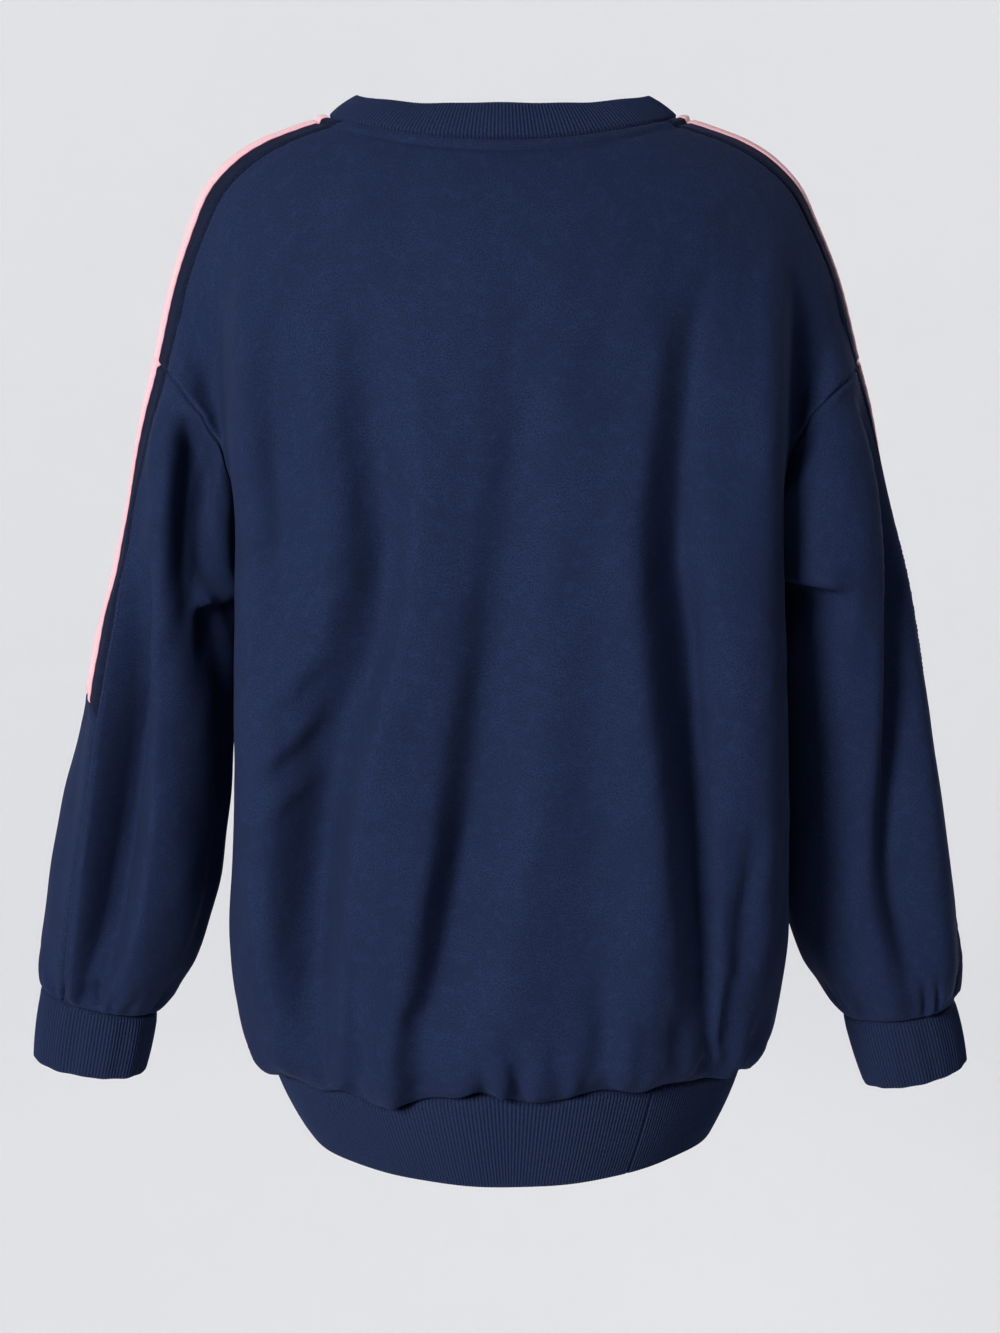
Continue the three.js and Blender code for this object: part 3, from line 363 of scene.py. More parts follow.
def yoke_points(face, hand, share, up):
    """The face above the junction row: a blend of its four edges in the front view."""
    top = top_edge(face, hand, share)[None]
    corner, middle_top = top_edge(face, hand, np.array([1.0]))[0], top_edge(face, hand, np.array([0.0]))[0]
    up, share = up[:, None], share[None]
    lift = smooth(0, 1, up)
    low = {0: armhole_x(1) * yoke_share(share), 2: JUNCTION_Z}
    side = {
        0: armhole_x(1 - up) + (corner[0] - armhole_x(0)) * lift,
        2: armhole_z(1 - up) + (corner[2] - armhole_z(0)) * lift,
    }
    middle = {0: 0.0, 2: mix(JUNCTION_Z, middle_top[2], up)}

    def blend(key, low_corner):
        inner = mix(JUNCTION_Z if key == 2 else 0, middle_top[key], up)
        outer = mix(low_corner, corner[key], up)
        rising = mix(low[key], top[..., key], up)
        outwards = mix(middle[key], side[key], share)
        return rising + outwards - mix(inner, outer, share)

    x, z = blend(0, armhole_x(1)), blend(2, JUNCTION_Z)
    missed = np.abs(top[..., 1]) - dome_depth(face, top[..., 0], top[..., 2])
    y = dome_depth(face, x, z) + missed * smooth(5 / 6, 1, up)
    return np.stack([hand * x, face * y, z], axis=-1)


def torso_points(face, hand, share, z):
    """The face below the junction row: shoulder section above, torso section below."""
    angle, power = torso_share(share), 2 / torso["square"](z)
    depth = depth_at[face](z) * np.maximum(0, np.cos(angle)) ** power
    sunk = torso["dent"](z) * np.exp(-((depth / 48) ** 2))
    width = torso["half"](z) * np.sin(angle) ** power - sunk
    upper = smooth(UNDERARM_Z, JUNCTION_Z, z)
    seam_x = mix(armhole_x(1), CREASE["x"], smooth(JUNCTION_Z, -215, z))
    dome_x = seam_x * yoke_share(share)
    x = mix(width, dome_x, upper)
    y = mix(depth, dome_depth(face, dome_x, z), upper)
    shift = torso["shift"](z) * (1 - smooth(-420, -200, z) * smooth(0.6, 1, share))
    x, y, z = np.broadcast_arrays(hand * x + shift * (1 - smooth(-260, -190, z)), face * y, z)
    return np.stack([x, y, z], axis=-1)


def hem_seam_z(share):
    return HEM_SEAM_Z - HEM_SIDE_DROP * smooth(0.45, 1, share)


def face_points(face, hand, share, rows):
    """One half of a face on a grid of shares across and rows down."""
    yoke, arm = PANEL_ROWS["yoke"], PANEL_ROWS["armhole"]
    upper = rows[rows <= yoke]
    parts = [yoke_points(face, hand, share, 1 - upper / yoke)]
    middle = rows[(rows > yoke) & (rows <= yoke + arm)]
    if len(middle):
        z = mix(JUNCTION_Z, UNDERARM_Z, (middle - yoke) / arm)[:, None]
        parts.append(torso_points(face, hand, share[None], z))
    lower = rows[rows > yoke + arm]
    if len(lower):
        down = (lower - yoke - arm) / PANEL_ROWS["torso"]
        spread = (np.sin(down * TORSO_SPREAD) / math.sin(TORSO_SPREAD))[:, None]
        found = torso_points(face, hand, share[None], mix(UNDERARM_Z, HEM_SEAM_Z, spread))
        found[..., 2] = mix(UNDERARM_Z, hem_seam_z(share)[None], spread)
        parts.append(found)
    return np.concatenate(parts)


# Columns beyond the neck are shared by the faces and the inserts, closer together at the side seam.
BESIDE_SEAM = 1 - np.array([0.0009, 0.0034, 0.0072, 0.0125, 0.019, 0.029])
ALONG = np.unique(np.concatenate([np.linspace(0, 1, 46), BESIDE_SEAM]))
ROWS_DOWN = np.concatenate([np.linspace(0, 6, 46), np.linspace(6, 12, 31)[1:], np.linspace(12, 25, 95)[1:]])
ACROSS = np.array([-1, -0.84, -0.68, -0.53, -0.35, -0.18, 0, 0.18, 0.35, 0.53, 0.68, 0.84, 1])


def face_shares(face):
    neck = NECK_SHARE[face]
    return np.concatenate([np.linspace(0, neck, 31)[:-1], neck + (1 - neck) * ALONG])


def face_grid(face):
    """Columns run anticlockwise seen from above: the back from the left side, the front from the right."""
    share = face_shares(face)
    first, second = (LEFT, RIGHT) if face == BACK else (RIGHT, LEFT)
    start = face_points(face, first, share, ROWS_DOWN)[:, ::-1]
    end = face_points(face, second, share, ROWS_DOWN)[:, 1:]
    return np.concatenate([start, end], axis=1)


def fold_lift(folds, around, z):
    """Each fold fades in over its first part and out over its last tenth."""
    lift = np.zeros(np.broadcast(around, z).shape)
    for top, low, start, by, end, left, right, height in folds:
        t = np.clip((top - z) / (top - low), 0, 1.05)
        at = start * (1 - t) ** 2 + 2 * (2 * by - (start + end) / 2) * t * (1 - t) + end * t * t
        off = around - at
        width = np.where(off > 0, left, right)
        lift += height * smooth(0, 0.3, t) * (1 - smooth(0.93, 1.05, t)) * np.exp(-((off / width) ** 2))
    return lift


def pleat_lift(lines, place, z):
    """Height of the cloth over its plain form, drawn smoothly from one crest or trough line to the next."""
    at = np.stack([line.curve("at")(z) for line in lines])
    high = np.stack([line.curve("high")(z) for line in lines])
    if at[0].mean() > at[-1].mean():
        at, high = at[::-1], high[::-1]
    run = np.maximum(np.diff(at, axis=0), 2)
    secant = np.diff(high, axis=0) / run
    product = secant[:-1] * secant[1:]
    total = np.where(product > 0, secant[:-1] + secant[1:], 1)
    flat = np.zeros_like(secant[:1])
    slope = np.concatenate([flat, np.where(product > 0, 2 * product / total, 0), flat])
    lift = np.where(place < at[0], high[0], high[-1])
    for k in range(len(run)):
        t = np.clip((place - at[k]) / run[k], 0, 1)
        inside = (place >= at[k]) & (place < at[k + 1])
        value = (
            high[k] * (1 + 2 * t) * (1 - t) ** 2
            + high[k + 1] * t * t * (3 - 2 * t)
            + run[k] * (slope[k] * t * (1 - t) ** 2 - slope[k + 1] * t * t * (1 - t))
        )
        lift = np.where(inside, value, lift)
    return lift


def lap_lift(lap, degrees, z):
    """A short overlap: the cloth stands out above a line and falls in sharply under it."""
    start, end, level, out, hollow = lap
    off = z - level - 0.12 * (degrees - start)
    over = out * np.exp(-((np.maximum(off, 0) / 17) ** 2))
    under = -hollow * np.exp(-((np.maximum(-off - 4, 0) / 24) ** 2))
    window = smooth(start - 6, start + 10, degrees) * (1 - smooth(end - 12, end + 6, degrees))
    return mix(under, over, smooth(-4, 0, off)) * window


def pull_lift(pulls, around, z):
    """Short diagonal pulls, each fading out at both ends."""
    lift = np.zeros(np.broadcast(around, z).shape)
    for a0, z0, a1, z1, width, height in pulls:
        length = math.hypot(a1 - a0, z1 - z0)
        t = ((around - a0) * (a1 - a0) + (z - z0) * (z1 - z0)) / length**2
        off = ((around - a0) * (z1 - z0) - (z - z0) * (a1 - a0)) / length
        ridge = height * np.exp(-((off / width) ** 2))
        lift += ridge * smooth(-0.15, 0.35, t) * (1 - smooth(0.65, 1.15, t))
    return lift


def gather_lift(count, reach, depth, turn, above):
    """Gathers of uneven spacing and length that run up from a ribbed seam."""
    wave = turn * count + 0.7 * np.sin(turn * np.pi * 6) + 0.4 * np.sin(turn * np.pi * 14)
    uneven = 0.65 + 0.35 * np.sin(turn * np.pi * 10 + 1)
    fade = smooth(0, 8, above) * (1 - smooth(reach * 0.3, reach * (0.8 + 0.5 * uneven), above))
    return depth * uneven * fade * np.sin(wave * 2 * np.pi)


def crumple(around, z, seed, height):
    """A slight unevenness of hanging cloth, mostly running down it."""
    random = np.random.default_rng(seed)
    lift = np.zeros(np.broadcast(around, z).shape)
    for _ in range(9):
        wave = random.uniform(26, 80)
        slant = random.uniform(-0.55, 0.55)
        phase, along = random.uniform(0, 2 * np.pi, 2)
        size = random.uniform(0.5, 1.0)
        bend = 5 * np.sin(z / random.uniform(70, 130) + along)
        lift += size * np.sin((around + slant * z + bend) / wave * 2 * np.pi + phase)
    return lift * height / 3


def body_lift(face, grid, sizes):
    middle = grid.shape[1] // 2
    run = lengths(grid, 1)
    around = (run[:, [middle]] - run) * face
    z = grid[..., 2]
    turn = np.arctan2(grid[..., 1], grid[..., 0]) / (2 * np.pi)
    share = np.concatenate([face_shares(face)[::-1], face_shares(face)[1:]])[None]
    edge = smooth(1, 0.9, share)
    from_top = smooth(0, 2.5, ROWS_DOWN)[:, None]
    above = z - z[-1:]
    main = fold_lift(FRONT_FOLDS, around, z) if face == FRONT else 0
    lift = main * edge * from_top * smooth(0, 14, above)
    fine = fold_lift(FINE_FOLDS[face], around, z) + pull_lift(PULLS[face], around, z)
    fine += crumple(around, z, 5 + face, 0.9)
    lift += fine * smooth(1, 0.96, share) * from_top * smooth(0, 7, above) * sizes.fold_strength
    lift += gather_lift(22, 46, 4.2, turn, above) * edge
    lift += gather_lift(49, 26, 2.1, turn, above) * smooth(1, 0.97, share)
    return lift


def back_push(grid):
    """How far the long folds stand straight out behind the back."""
    z = grid[..., 2]
    share = np.concatenate([face_shares(BACK)[::-1], face_shares(BACK)[1:]])[None]
    push = pleat_lift(BACK_PLEATS, grid[..., 0] + sway_x(z), z) * smooth(-60, -150, z)
    return push * smooth(1, 0.9, share) * smooth(0, 14, z - z[-1:])


def tube_points(hand, turn, z):
    half = (sleeve["outer"](z) - sleeve["inner"](z)) / 2
    middle = (sleeve["outer"](z) + sleeve["inner"](z)) / 2
    x = hand * (middle + half * np.cos(turn))
    y = sleeve["y"](z) + sleeve["deep"](z) * np.sin(turn)
    return np.stack(np.broadcast_arrays(x, y, z), axis=-1)


def cuff_points(hand, ring, turn):
    x, y, z, half, deep, rise = ring
    along = np.cos(turn) * half
    return np.stack([hand * (x + along), y + deep * np.sin(turn), z + rise * along], axis=-1)


def sleeve_points(hand, start, top, low, along):
    """Columns of a sleeve from the armhole to the cuff, with their turn on the tube at each end."""
    turn = mix(top, low, smooth(0, 0.7, along))
    cuff = cuff_points(hand, CUFFS[hand]["seam"], low)
    z = mix(start[..., 2], cuff[..., 2], along)
    leave = (1 - smooth(0, 0.22, along))[..., None]
    points = tube_points(hand, turn, z) + (start - tube_points(hand, top, start[..., 2])) * leave
    return mix(points, np.broadcast_to(cuff, points.shape), smooth(0.955, 1, along)[..., None])


def turn_of(hand, points):
    z = points[..., 2]
    half = (sleeve["outer"](z) - sleeve["inner"](z)) / 2
    middle = (sleeve["outer"](z) + sleeve["inner"](z)) / 2
    backwards = (points[..., 1] - sleeve["y"](z)) / sleeve["deep"](z)
    return np.arctan2(backwards, (hand * points[..., 0] - middle) / half)


def insert_turn(hand, across):
    return math.radians(SLEEVE_TURN[hand]) + np.asarray(across) * INSERT["on_sleeve"] / 60


SLEEVE_DROP = INSERT["seam_z"] - CUFFS[LEFT]["seam"][2]
EDGE_END = (INSERT["seam_z"] - INSERT["end_z"]) / SLEEVE_DROP
UPPER_SHARES = EDGE_END * np.linspace(0, 1, 67)
LOWER_STEPS = np.sin(np.linspace(0, 1, 69) * SLEEVE_SPREAD) / math.sin(SLEEVE_SPREAD)
LOWER_SHARES = mix(EDGE_END, 1, LOWER_STEPS)


def armhole_columns(hand):
    """The sleeve's columns start on the side edges of both faces: down the back, then up the front."""
    rows = ROWS_DOWN[ROWS_DOWN <= PANEL_ROWS["yoke"] + PANEL_ROWS["armhole"]]
    side = np.array([1.0])
    back = face_points(BACK, hand, side, rows)[:, 0]
    front = face_points(FRONT, hand, side, rows)[:, 0]
    start = np.concatenate([back, front[::-1][1:]])
    top = turn_of(hand, start)
    for i in range(1, len(top)):
        while top[i] < top[i - 1] - 1:
            top[i] += 2 * np.pi
    marks = np.linspace(0, 1, len(start))
    low = mix(insert_turn(hand, 1), insert_turn(hand, -1) + 2 * np.pi, marks)
    return start, top, low


def sleeve_lift(hand, grid, sizes, fade=None, seed=11):
    turn = turn_of(hand, grid)
    degrees = np.degrees(turn)
    x, _, z, _, _, rise = CUFFS[hand]["seam"]
    above = grid[..., 2] - (z + rise * (hand * grid[..., 0] - x))
    lift = fold_lift(SLEEVE_FOLDS[hand], degrees, grid[..., 2])
    lift += pleat_lift(SLEEVE_PLEATS[hand], degrees, grid[..., 2]) * smooth(-150, -215, grid[..., 2])
    lift = (lift + lap_lift(UNDERARM_LAPS[hand], degrees, grid[..., 2])) * smooth(0, 12, above)
    lift += gather_lift(9, 34, 3, (turn + hand) / (2 * np.pi), above)
    lift += gather_lift(21, 18, 1.2, (turn + hand) / (2 * np.pi), above)
    around = 62 * np.stack([np.cos(turn), np.sin(turn)])
    uneven = crumple(around[0], grid[..., 2], seed + hand, 0.8)
    uneven = uneven + crumple(around[1], grid[..., 2], seed + 3 * hand, 0.8)
    lift += uneven * smooth(0, 8, above) * sizes.fold_strength
    return lift if fade is None else lift * fade[:, None]


class Cloth:
    """One cut piece: a grid of points, rows down, columns anticlockwise, and what is worked out on it."""

    def __init__(self, grid, lift=None, closed=False):
        self.grid, self.lift, self.closed = grid, lift, closed
        self.normals = None


def grid_normals(grid, closed):
    if closed:
        grid = np.concatenate([grid, grid[:, :1]], axis=1)
    normal = np.cross(grid[1:, 1:] - grid[:-1, :-1], grid[:-1, 1:] - grid[1:, :-1])
    found = np.zeros_like(grid)
    early, late = slice(0, -1), slice(1, None)
    for rows, columns in ((early, early), (early, late), (late, early), (late, late)):
        found[rows, columns] += normal
    if closed:
        found[:, 0] += found[:, -1]
        found = found[:, :-1]
    return found


def unit(vectors):
    return vectors / np.maximum(np.linalg.norm(vectors, axis=-1, keepdims=True), 1e-12)


def share_normals(cloths):
    """Normals are summed over every piece that shares a point, so seams are smooth across."""
    points = np.concatenate([c.grid.reshape(-1, 3) for c in cloths])
    sums = np.concatenate([grid_normals(c.grid, c.closed).reshape(-1, 3) for c in cloths])
    keys = np.unique(np.round(points * 50).astype(np.int64), axis=0, return_inverse=True)[1].ravel()
    total = np.stack([np.bincount(keys, sums[:, k]) for k in range(3)], axis=-1)
    shared = unit(total)[keys]
    start = 0
    for c in cloths:
        count = c.grid.shape[0] * c.grid.shape[1]
        c.normals = shared[start : start + count].reshape(c.grid.shape)
        start += count


def hem_wave(grid):
    """The sewn line of the hem wanders up and down, and the cloth on both sides goes with it."""
    turn = np.arctan2(grid[..., 1], grid[..., 0])
    wave = 0.9 * np.sin(9 * turn + 0.6) + 0.8 * np.sin(23 * turn)
    for place, width, drop in HEM_SCALLOPS:
        wave -= drop * np.exp(-(((grid[..., 0] - place) / width) ** 2)) * smooth(0, 60, grid[..., 1])
    share = np.abs(np.cos(turn)) ** 2
    seam = HEM_SEAM_Z - HEM_SIDE_DROP * share
    near = np.exp(-(((grid[..., 2] - seam) / 30) ** 2))
    beside = smooth(-684, -668, grid[..., 2])
    body = 1 - smooth(205, 225, np.abs(grid[..., 0]))
    grid[..., 2] += wave * near * beside * body


def cut_cloth(sizes):
    """Every piece of the pattern with its folds, before its edges are sewn."""
    cloths = {}
    for face, name in ((BACK, "back_panel"), (FRONT, "front_panel")):
        grid = face_grid(face)
        cloths[name] = Cloth(grid, body_lift(face, grid, sizes))
        if face == BACK:
            cloths[name].grid[..., 1] += back_push(grid)
    rows = np.concatenate([UPPER_SHARES, LOWER_SHARES[1:]])
    fade = smooth(0, 0.13, rows / EDGE_END)
    for hand, side in HAND_NAMES.items():
        order = slice(None) if hand == LEFT else slice(None, None, -1)
        grid = insert_on_shoulder(hand, ALONG[:, None], ACROSS[None])
        cloths[f"{side}_shoulder_insert"] = Cloth(grid[:, order])
        start, top, low = armhole_columns(hand)
        grid = sleeve_points(hand, start[None], top[None], low[None], rows[:, None])
        cloths[f"{side}_sleeve"] = Cloth(grid[:, order], sleeve_lift(hand, grid, sizes, fade)[:, order])
        start = insert_on_shoulder(hand, np.ones(len(ACROSS)), ACROSS)
        top, low = turn_of(hand, start), insert_turn(hand, ACROSS)
        end = (EDGE_END - (INSERT["peak"] / SLEEVE_DROP) * (1 - np.abs(ACROSS)))[None]
        upper = end * (UPPER_SHARES / EDGE_END)[:, None]
        lower = mix(end, 1, LOWER_STEPS[:, None])
        grid = sleeve_points(hand, start[None], top[None], low[None], upper)
        fading = fade[: len(UPPER_SHARES)]
        lift = sleeve_lift(hand, grid, sizes, fading)
        cloths[f"{side}_sleeve_insert"] = Cloth(grid[:, order], lift[:, order])
        grid = sleeve_points(hand, start[None], top[None], low[None], lower)
        cloths[f"{side}_sleeve_strip"] = Cloth(grid[:, order], sleeve_lift(hand, grid, sizes)[:, order])
    for c in cloths.values():
        c.grid[..., 0] += sway_x(c.grid[..., 2])
    everything = list(cloths.values())
    share_normals(everything)
    for c in everything:
        if c.lift is not None:
            c.grid = c.grid + c.normals * c.lift[..., None]
        hem_wave(c.grid)
    share_normals(everything)
    return cloths


def steps_along(length, count, first):
    """Places along a line: close together beside a sewn end, evenly spread between."""
    start, end = np.array(first), np.array(SEAM_STEPS)
    start, end = start[start < length * 0.3], end[end < length * 0.3]
    free = np.linspace(start[-1], length - end[-1], count)
    return np.concatenate([start[:-1], free, (length - end[:-1])[::-1]])


def respaced(values, where, count, first=SEAM_STEPS):
    """Resamples every row of a grid along its own length."""
    rows = []
    for row, at in zip(values, where):
        places = steps_along(at[-1], count, first)
        rows.append(np.stack([np.interp(places, at, row[:, k]) for k in range(row.shape[1])], axis=-1))
    short = min(len(row) for row in rows)
    kept = [np.round(np.linspace(0, len(row) - 1, short)).astype(int) for row in rows]
    return np.stack([row[at] for row, at in zip(rows, kept)])


def refine(cloth, across, down):
    """An even grid over the folded cloth, with close rows and columns beside its seams."""
    values = np.concatenate([cloth.grid, cloth.normals], axis=-1)
    values = respaced(values, lengths(cloth.grid, 1), across)
    turned = values.transpose(1, 0, 2)
    turned = respaced(turned, lengths(turned[..., :3], 1), down, NECK_STEPS)
    values = turned.transpose(1, 0, 2)
    return values[..., :3], unit(values[..., 3:])


def edge_distances(grid):
    left, top = lengths(grid, 1), lengths(grid, 0)
    return {"left": left, "right": left[:, -1:] - left, "top": top, "bottom": top[-1:] - top}


def neckline_loop():
    """The neckline as one loop, anticlockwise from the left insert's back edge."""
    halves = {
        (face, hand): top_edge(face, hand, np.linspace(0, NECK_SHARE[face], 41) * 0.999999)
        * np.array([hand, 1, 1])
        for face in (BACK, FRONT)
        for hand in (LEFT, RIGHT)
    }
    between = np.linspace(-1, 1, 17)[1:-1]
    insert = {hand: insert_on_shoulder(hand, np.zeros(15), between) for hand in (LEFT, RIGHT)}
    loop = np.concatenate([
        halves[BACK, LEFT][::-1], halves[BACK, RIGHT][1:], insert[RIGHT][::-1],
        halves[FRONT, RIGHT][::-1], halves[FRONT, LEFT][1:], insert[LEFT],
    ])
    loop[:, 0] += sway_x(loop[:, 2])
    return loop


def distance_to(loop, points):
    closed = np.concatenate([loop, loop[:1]])
    best = np.full(points.shape[:-1], 1e9)
    for a, b in zip(closed[:-1], closed[1:]):
        line = b - a
        t = np.clip(((points - a) @ line) / (line @ line), 0, 1)
        best = np.minimum(best, np.linalg.norm(points - a - t[..., None] * line, axis=-1))
    return best


def neck_band_lift(apart):
    """The seam folded down under the collar stands up, and its stitches pull a groove beside it."""
    band = 1.7 * (1 - smooth(NECK_BAND - 2.2, NECK_BAND + 0.8, apart)) * smooth(0.6, 3.2, apart)
    return band - 1.3 * np.exp(-(((apart - NECK_BAND) / 1.2) ** 2))


def sewn_surface(grid, normals, sizes, loop, pucker, stitched):
    """Works the seams into the cloth: rolled edges, dents under the stitches and puckers beside them."""
    away = edge_distances(grid)
    near = np.minimum.reduce(list(away.values()))
    depth = sizes.seam_depth / MM
    lift = -depth * (1 - smooth(0, 2.6, near) ** 0.7)
    lift += 0.35 * np.exp(-(((near - 4.2) / 2.2) ** 2))
    run = {"left": away["top"], "right": away["top"], "top": away["left"], "bottom": away["left"]}
    for edge in pucker:
        ripple = np.sin(run[edge] / 1.55 + 2.1 * np.sin(run[edge] / 11))
        ripple = ripple * (0.6 + 0.4 * np.sin(run[edge] / 23 + 1))
        lift += 0.28 * ripple * smooth(0, 2.5, away[edge]) * np.exp(-((away[edge] / 8) ** 2))
    for edge, distance in stitched:
        lift -= 0.45 * np.exp(-(((away[edge] - distance) / 0.9) ** 2))
    high = grid[..., 2] > -60
    if loop is not None and high.any():
        rows = np.where(high.any(axis=1))[0].max() + 1
        apart = np.full(grid.shape[:2], 99.0)
        apart[:rows] = distance_to(loop, grid[:rows])
        lift += neck_band_lift(apart)
    worn = np.exp(-((near / 5) ** 2))
    return grid + normals * lift[..., None], near, worn


def shell(name, outer, inner, closed=False, uv=None, marks=None):
    """A thin closed wall from an outer and an inner grid of the same size."""
    rows, columns = outer.shape[:2]
    points = np.concatenate([outer.reshape(-1, 3), inner.reshape(-1, 3)]) * MM
    number = np.arange(rows * columns).reshape(rows, columns)
    wide = np.concatenate([number, number[:, :1]], axis=1) if closed else number
    a, b, c, d = wide[:-1, :-1], wide[1:, :-1], wide[1:, 1:], wide[:-1, 1:]
    front = np.stack([a, b, c, d], axis=-1).reshape(-1, 4)
    under = np.stack([a, d, c, b], axis=-1).reshape(-1, 4) + rows * columns
    rims = []

    def rim(line, flip):
        p, q = line[:-1], line[1:]
        other = np.stack([p, q, q + rows * columns, p + rows * columns], axis=-1)
        rims.append(other[:, ::-1] if flip else other)

    rim(wide[0], False)
    rim(wide[-1], True)
    if not closed:
        rim(number[:, 0], True)
        rim(number[:, -1], False)
    faces = np.concatenate([front, under, *rims])
    mesh = bpy.data.meshes.new(name)
    mesh.vertices.add(len(points))
    mesh.vertices.foreach_set("co", points.astype(np.float32).ravel())
    mesh.loops.add(faces.size)
    mesh.loops.foreach_set("vertex_index", faces.astype(np.int32).ravel())
    mesh.polygons.add(len(faces))
    mesh.polygons.foreach_set("loop_start", np.arange(0, faces.size, 4, dtype=np.int32))
    mesh.update(calc_edges=True)
    if uv is None:
        middle = lengths(outer, 1)
        uv = np.stack([middle - middle[:, [columns // 2]], -lengths(outer, 0)], axis=-1)
    flat = np.concatenate([uv.reshape(-1, 2), uv.reshape(-1, 2)]) * MM
    layer = mesh.uv_layers.new(name="cloth")
    layer.data.foreach_set("uv", flat[faces.ravel()].astype(np.float32).ravel())
    for title, values in (marks or {}).items():
        both = np.concatenate([values[0].ravel(), values[1].ravel()]).astype(np.float32)
        mesh.attributes.new(title, "FLOAT", "POINT").data.foreach_set("value", both)
    mesh.validate()
    mesh.shade_smooth()
    piece = bpy.data.objects.new(name, mesh)
    bpy.context.scene.collection.objects.link(piece)
    return piece


def dress(piece, material, node):
    """Gives a piece its finish, hangs it from the root and hides the part it stands for."""
    piece.data.materials.append(material)
    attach(piece, "root")
    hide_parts(node)
    return piece


# The finished surfaces, worked out once and shared by the operators.
worktable = {}


def pattern():
    if "cloths" not in worktable:
        sizes = bpy.context.scene.sweatshirt_sizes
        worktable["cloths"] = cut_cloth(sizes)
        worktable["loop"] = neckline_loop()
        worktable["surfaces"] = {}
    return worktable["cloths"]


SHEETS = {
    "back_panel": {"size": (148, 166), "pucker": ("left", "right", "top"), "stitched": ()},
    "front_panel": {"size": (140, 160), "pucker": ("left", "right", "top"), "stitched": ()},
    "sleeve": {
        "size": (96, 116),
        "pucker": ("left", "right", "top"),
        "stitched": (("left", 4.5), ("right", 4.5)),
    },
    "shoulder_insert": {"size": (14, 44), "pucker": ("left", "right"), "stitched": ()},
    "sleeve_insert": {"size": (14, 62), "pucker": ("bottom",), "stitched": ()},
    "sleeve_strip": {"size": (14, 56), "pucker": ("left", "right", "top"), "stitched": ()},
}


def plain_piece(name, kind):
    """Refines, seams and thickens one plain piece, and keeps its outer surface for the sewing."""
    sizes = bpy.context.scene.sweatshirt_sizes
    plan = SHEETS[kind]
    grid, normals = refine(pattern()[name], *plan["size"])
    neckline, pucker, stitched = worktable["loop"], plan["pucker"], plan["stitched"]
    outer, near, worn = sewn_surface(grid, normals, sizes, neckline, pucker, stitched)
    inner = outer - normals * (sizes.fleece / MM)
    worktable["surfaces"][name] = (outer, normals, grid)
    marks = {"worn": (worn, worn * 0), "inside": (near * 0, near * 0 + 1)}
    return shell(name + "_cloth", outer, inner, marks=marks)


def ring_rows(height, thickness):
    """Rows of a ribbed ring from its seam to its rounded edge, and how far the edge draws in."""
    radius = thickness / 2
    top = np.array([-1.6, 0.0, 0.5, 1.2, 2.2, 3.6])
    middle = np.linspace(5.5, height - 3 * radius, 9)
    round_off = np.array([2.0, 1.0, 0.6, 0.3, 0.1, 0.0]) * radius
    at = np.concatenate([top, middle, height - round_off])
    left = np.clip((height - at) / radius, 0, 1)
    draw = radius * (1 - np.sqrt(np.clip(1 - (1 - left) ** 2, 0, 1)))
    return at, draw


def ribbed_ring(name, seam, edge, thickness, bulge, join=None):
    """A ribbed ring between two loops: the cloth's own ribs stand on the outside and the inside."""
    sizes = bpy.context.scene.sweatshirt_sizes
    per_rib = 5
    closed = np.concatenate([(seam + edge) / 2, ((seam + edge) / 2)[:1]])
    run = np.concatenate([[0], np.cumsum(np.linalg.norm(np.diff(closed, axis=0), axis=1))])
    ribs = int(round(run[-1] / (sizes.rib_pitch / MM)))
    places = np.linspace(0, run[-1], ribs * per_rib + 1)[:-1]

    def resampled(loop):
        wide = np.concatenate([loop, loop[:1]])
        return np.stack([np.interp(places, run, wide[:, k]) for k in range(3)], axis=-1)

    seam, edge = resampled(seam), resampled(edge)
    height = np.linalg.norm(edge - seam, axis=1)
    at, draw = ring_rows(height.mean(), thickness)
    share = (at / height.mean())[:, None, None]
    grid = seam[None] * (1 - share) + edge[None] * share
    normals = unit(grid_normals(grid, True))
    belly = bulge * np.sin(np.pi * np.clip(at / height.mean(), 0, 1)) ** 0.8
    random = np.random.default_rng(len(name))
    drift = np.zeros(len(places))
    for wave in (3, 5, 9, 14):
        swing = np.sin(places / run[-1] * 2 * np.pi * wave + random.uniform(0, 6))
        drift += swing * random.uniform(0.15, 0.4)
    rib = 0.5 + 0.5 * np.cos(np.arange(len(places)) * 2 * np.pi / per_rib)
    rib = rib**0.8
    rise = sizes.rib_rise / MM
    seam_dip = (sizes.seam_depth / MM + 0.7) * (1 - smooth(0, 2.4, at) ** 0.7)
    fade = smooth(0.2, 2.5, at) * (1 - 0.55 * smooth(height.mean() - 1.5, height.mean(), at))
    lift = belly[:, None] + drift[None] * smooth(0, 10, at)[:, None] - seam_dip[:, None]
    waver = 0.85 + 0.15 * np.sin(places[None] / 37 + at[:, None] / 19)
    outer = grid + normals * (lift + rise * rib[None] * fade[:, None] * waver - draw[:, None])[..., None]
    sunk = lift - thickness + rise * 0.6 * (1 - rib[None]) * -fade[:, None] + draw[:, None]
    inner = grid + normals * sunk[..., None]
    if join is not None:
        off = (places - join * run[-1] + run[-1] / 2) % run[-1] - run[-1] / 2
        dent = 1.1 * np.exp(-((off / 0.9) ** 2))[None] * fade[:, None]
        outer = outer - normals * dent[..., None]
    worktable["surfaces"][name] = (outer, normals, grid)
    uv = np.stack(np.broadcast_arrays(places[None], -at[:, None]), axis=-1)
    ones = np.ones(grid.shape[:2])
    worn = np.exp(-(((height.mean() - at) / 2.5) ** 2))[:, None] * ones
    # The rib mark is each rib's height; the rib finish also paints shade in the furrows from it.
    marks = {"rib": (ones * rib[None], ones * (1 - rib[None])), "worn": (worn, worn)}
    return shell(name + "_cloth", outer, inner, closed=True, uv=uv, marks=marks)


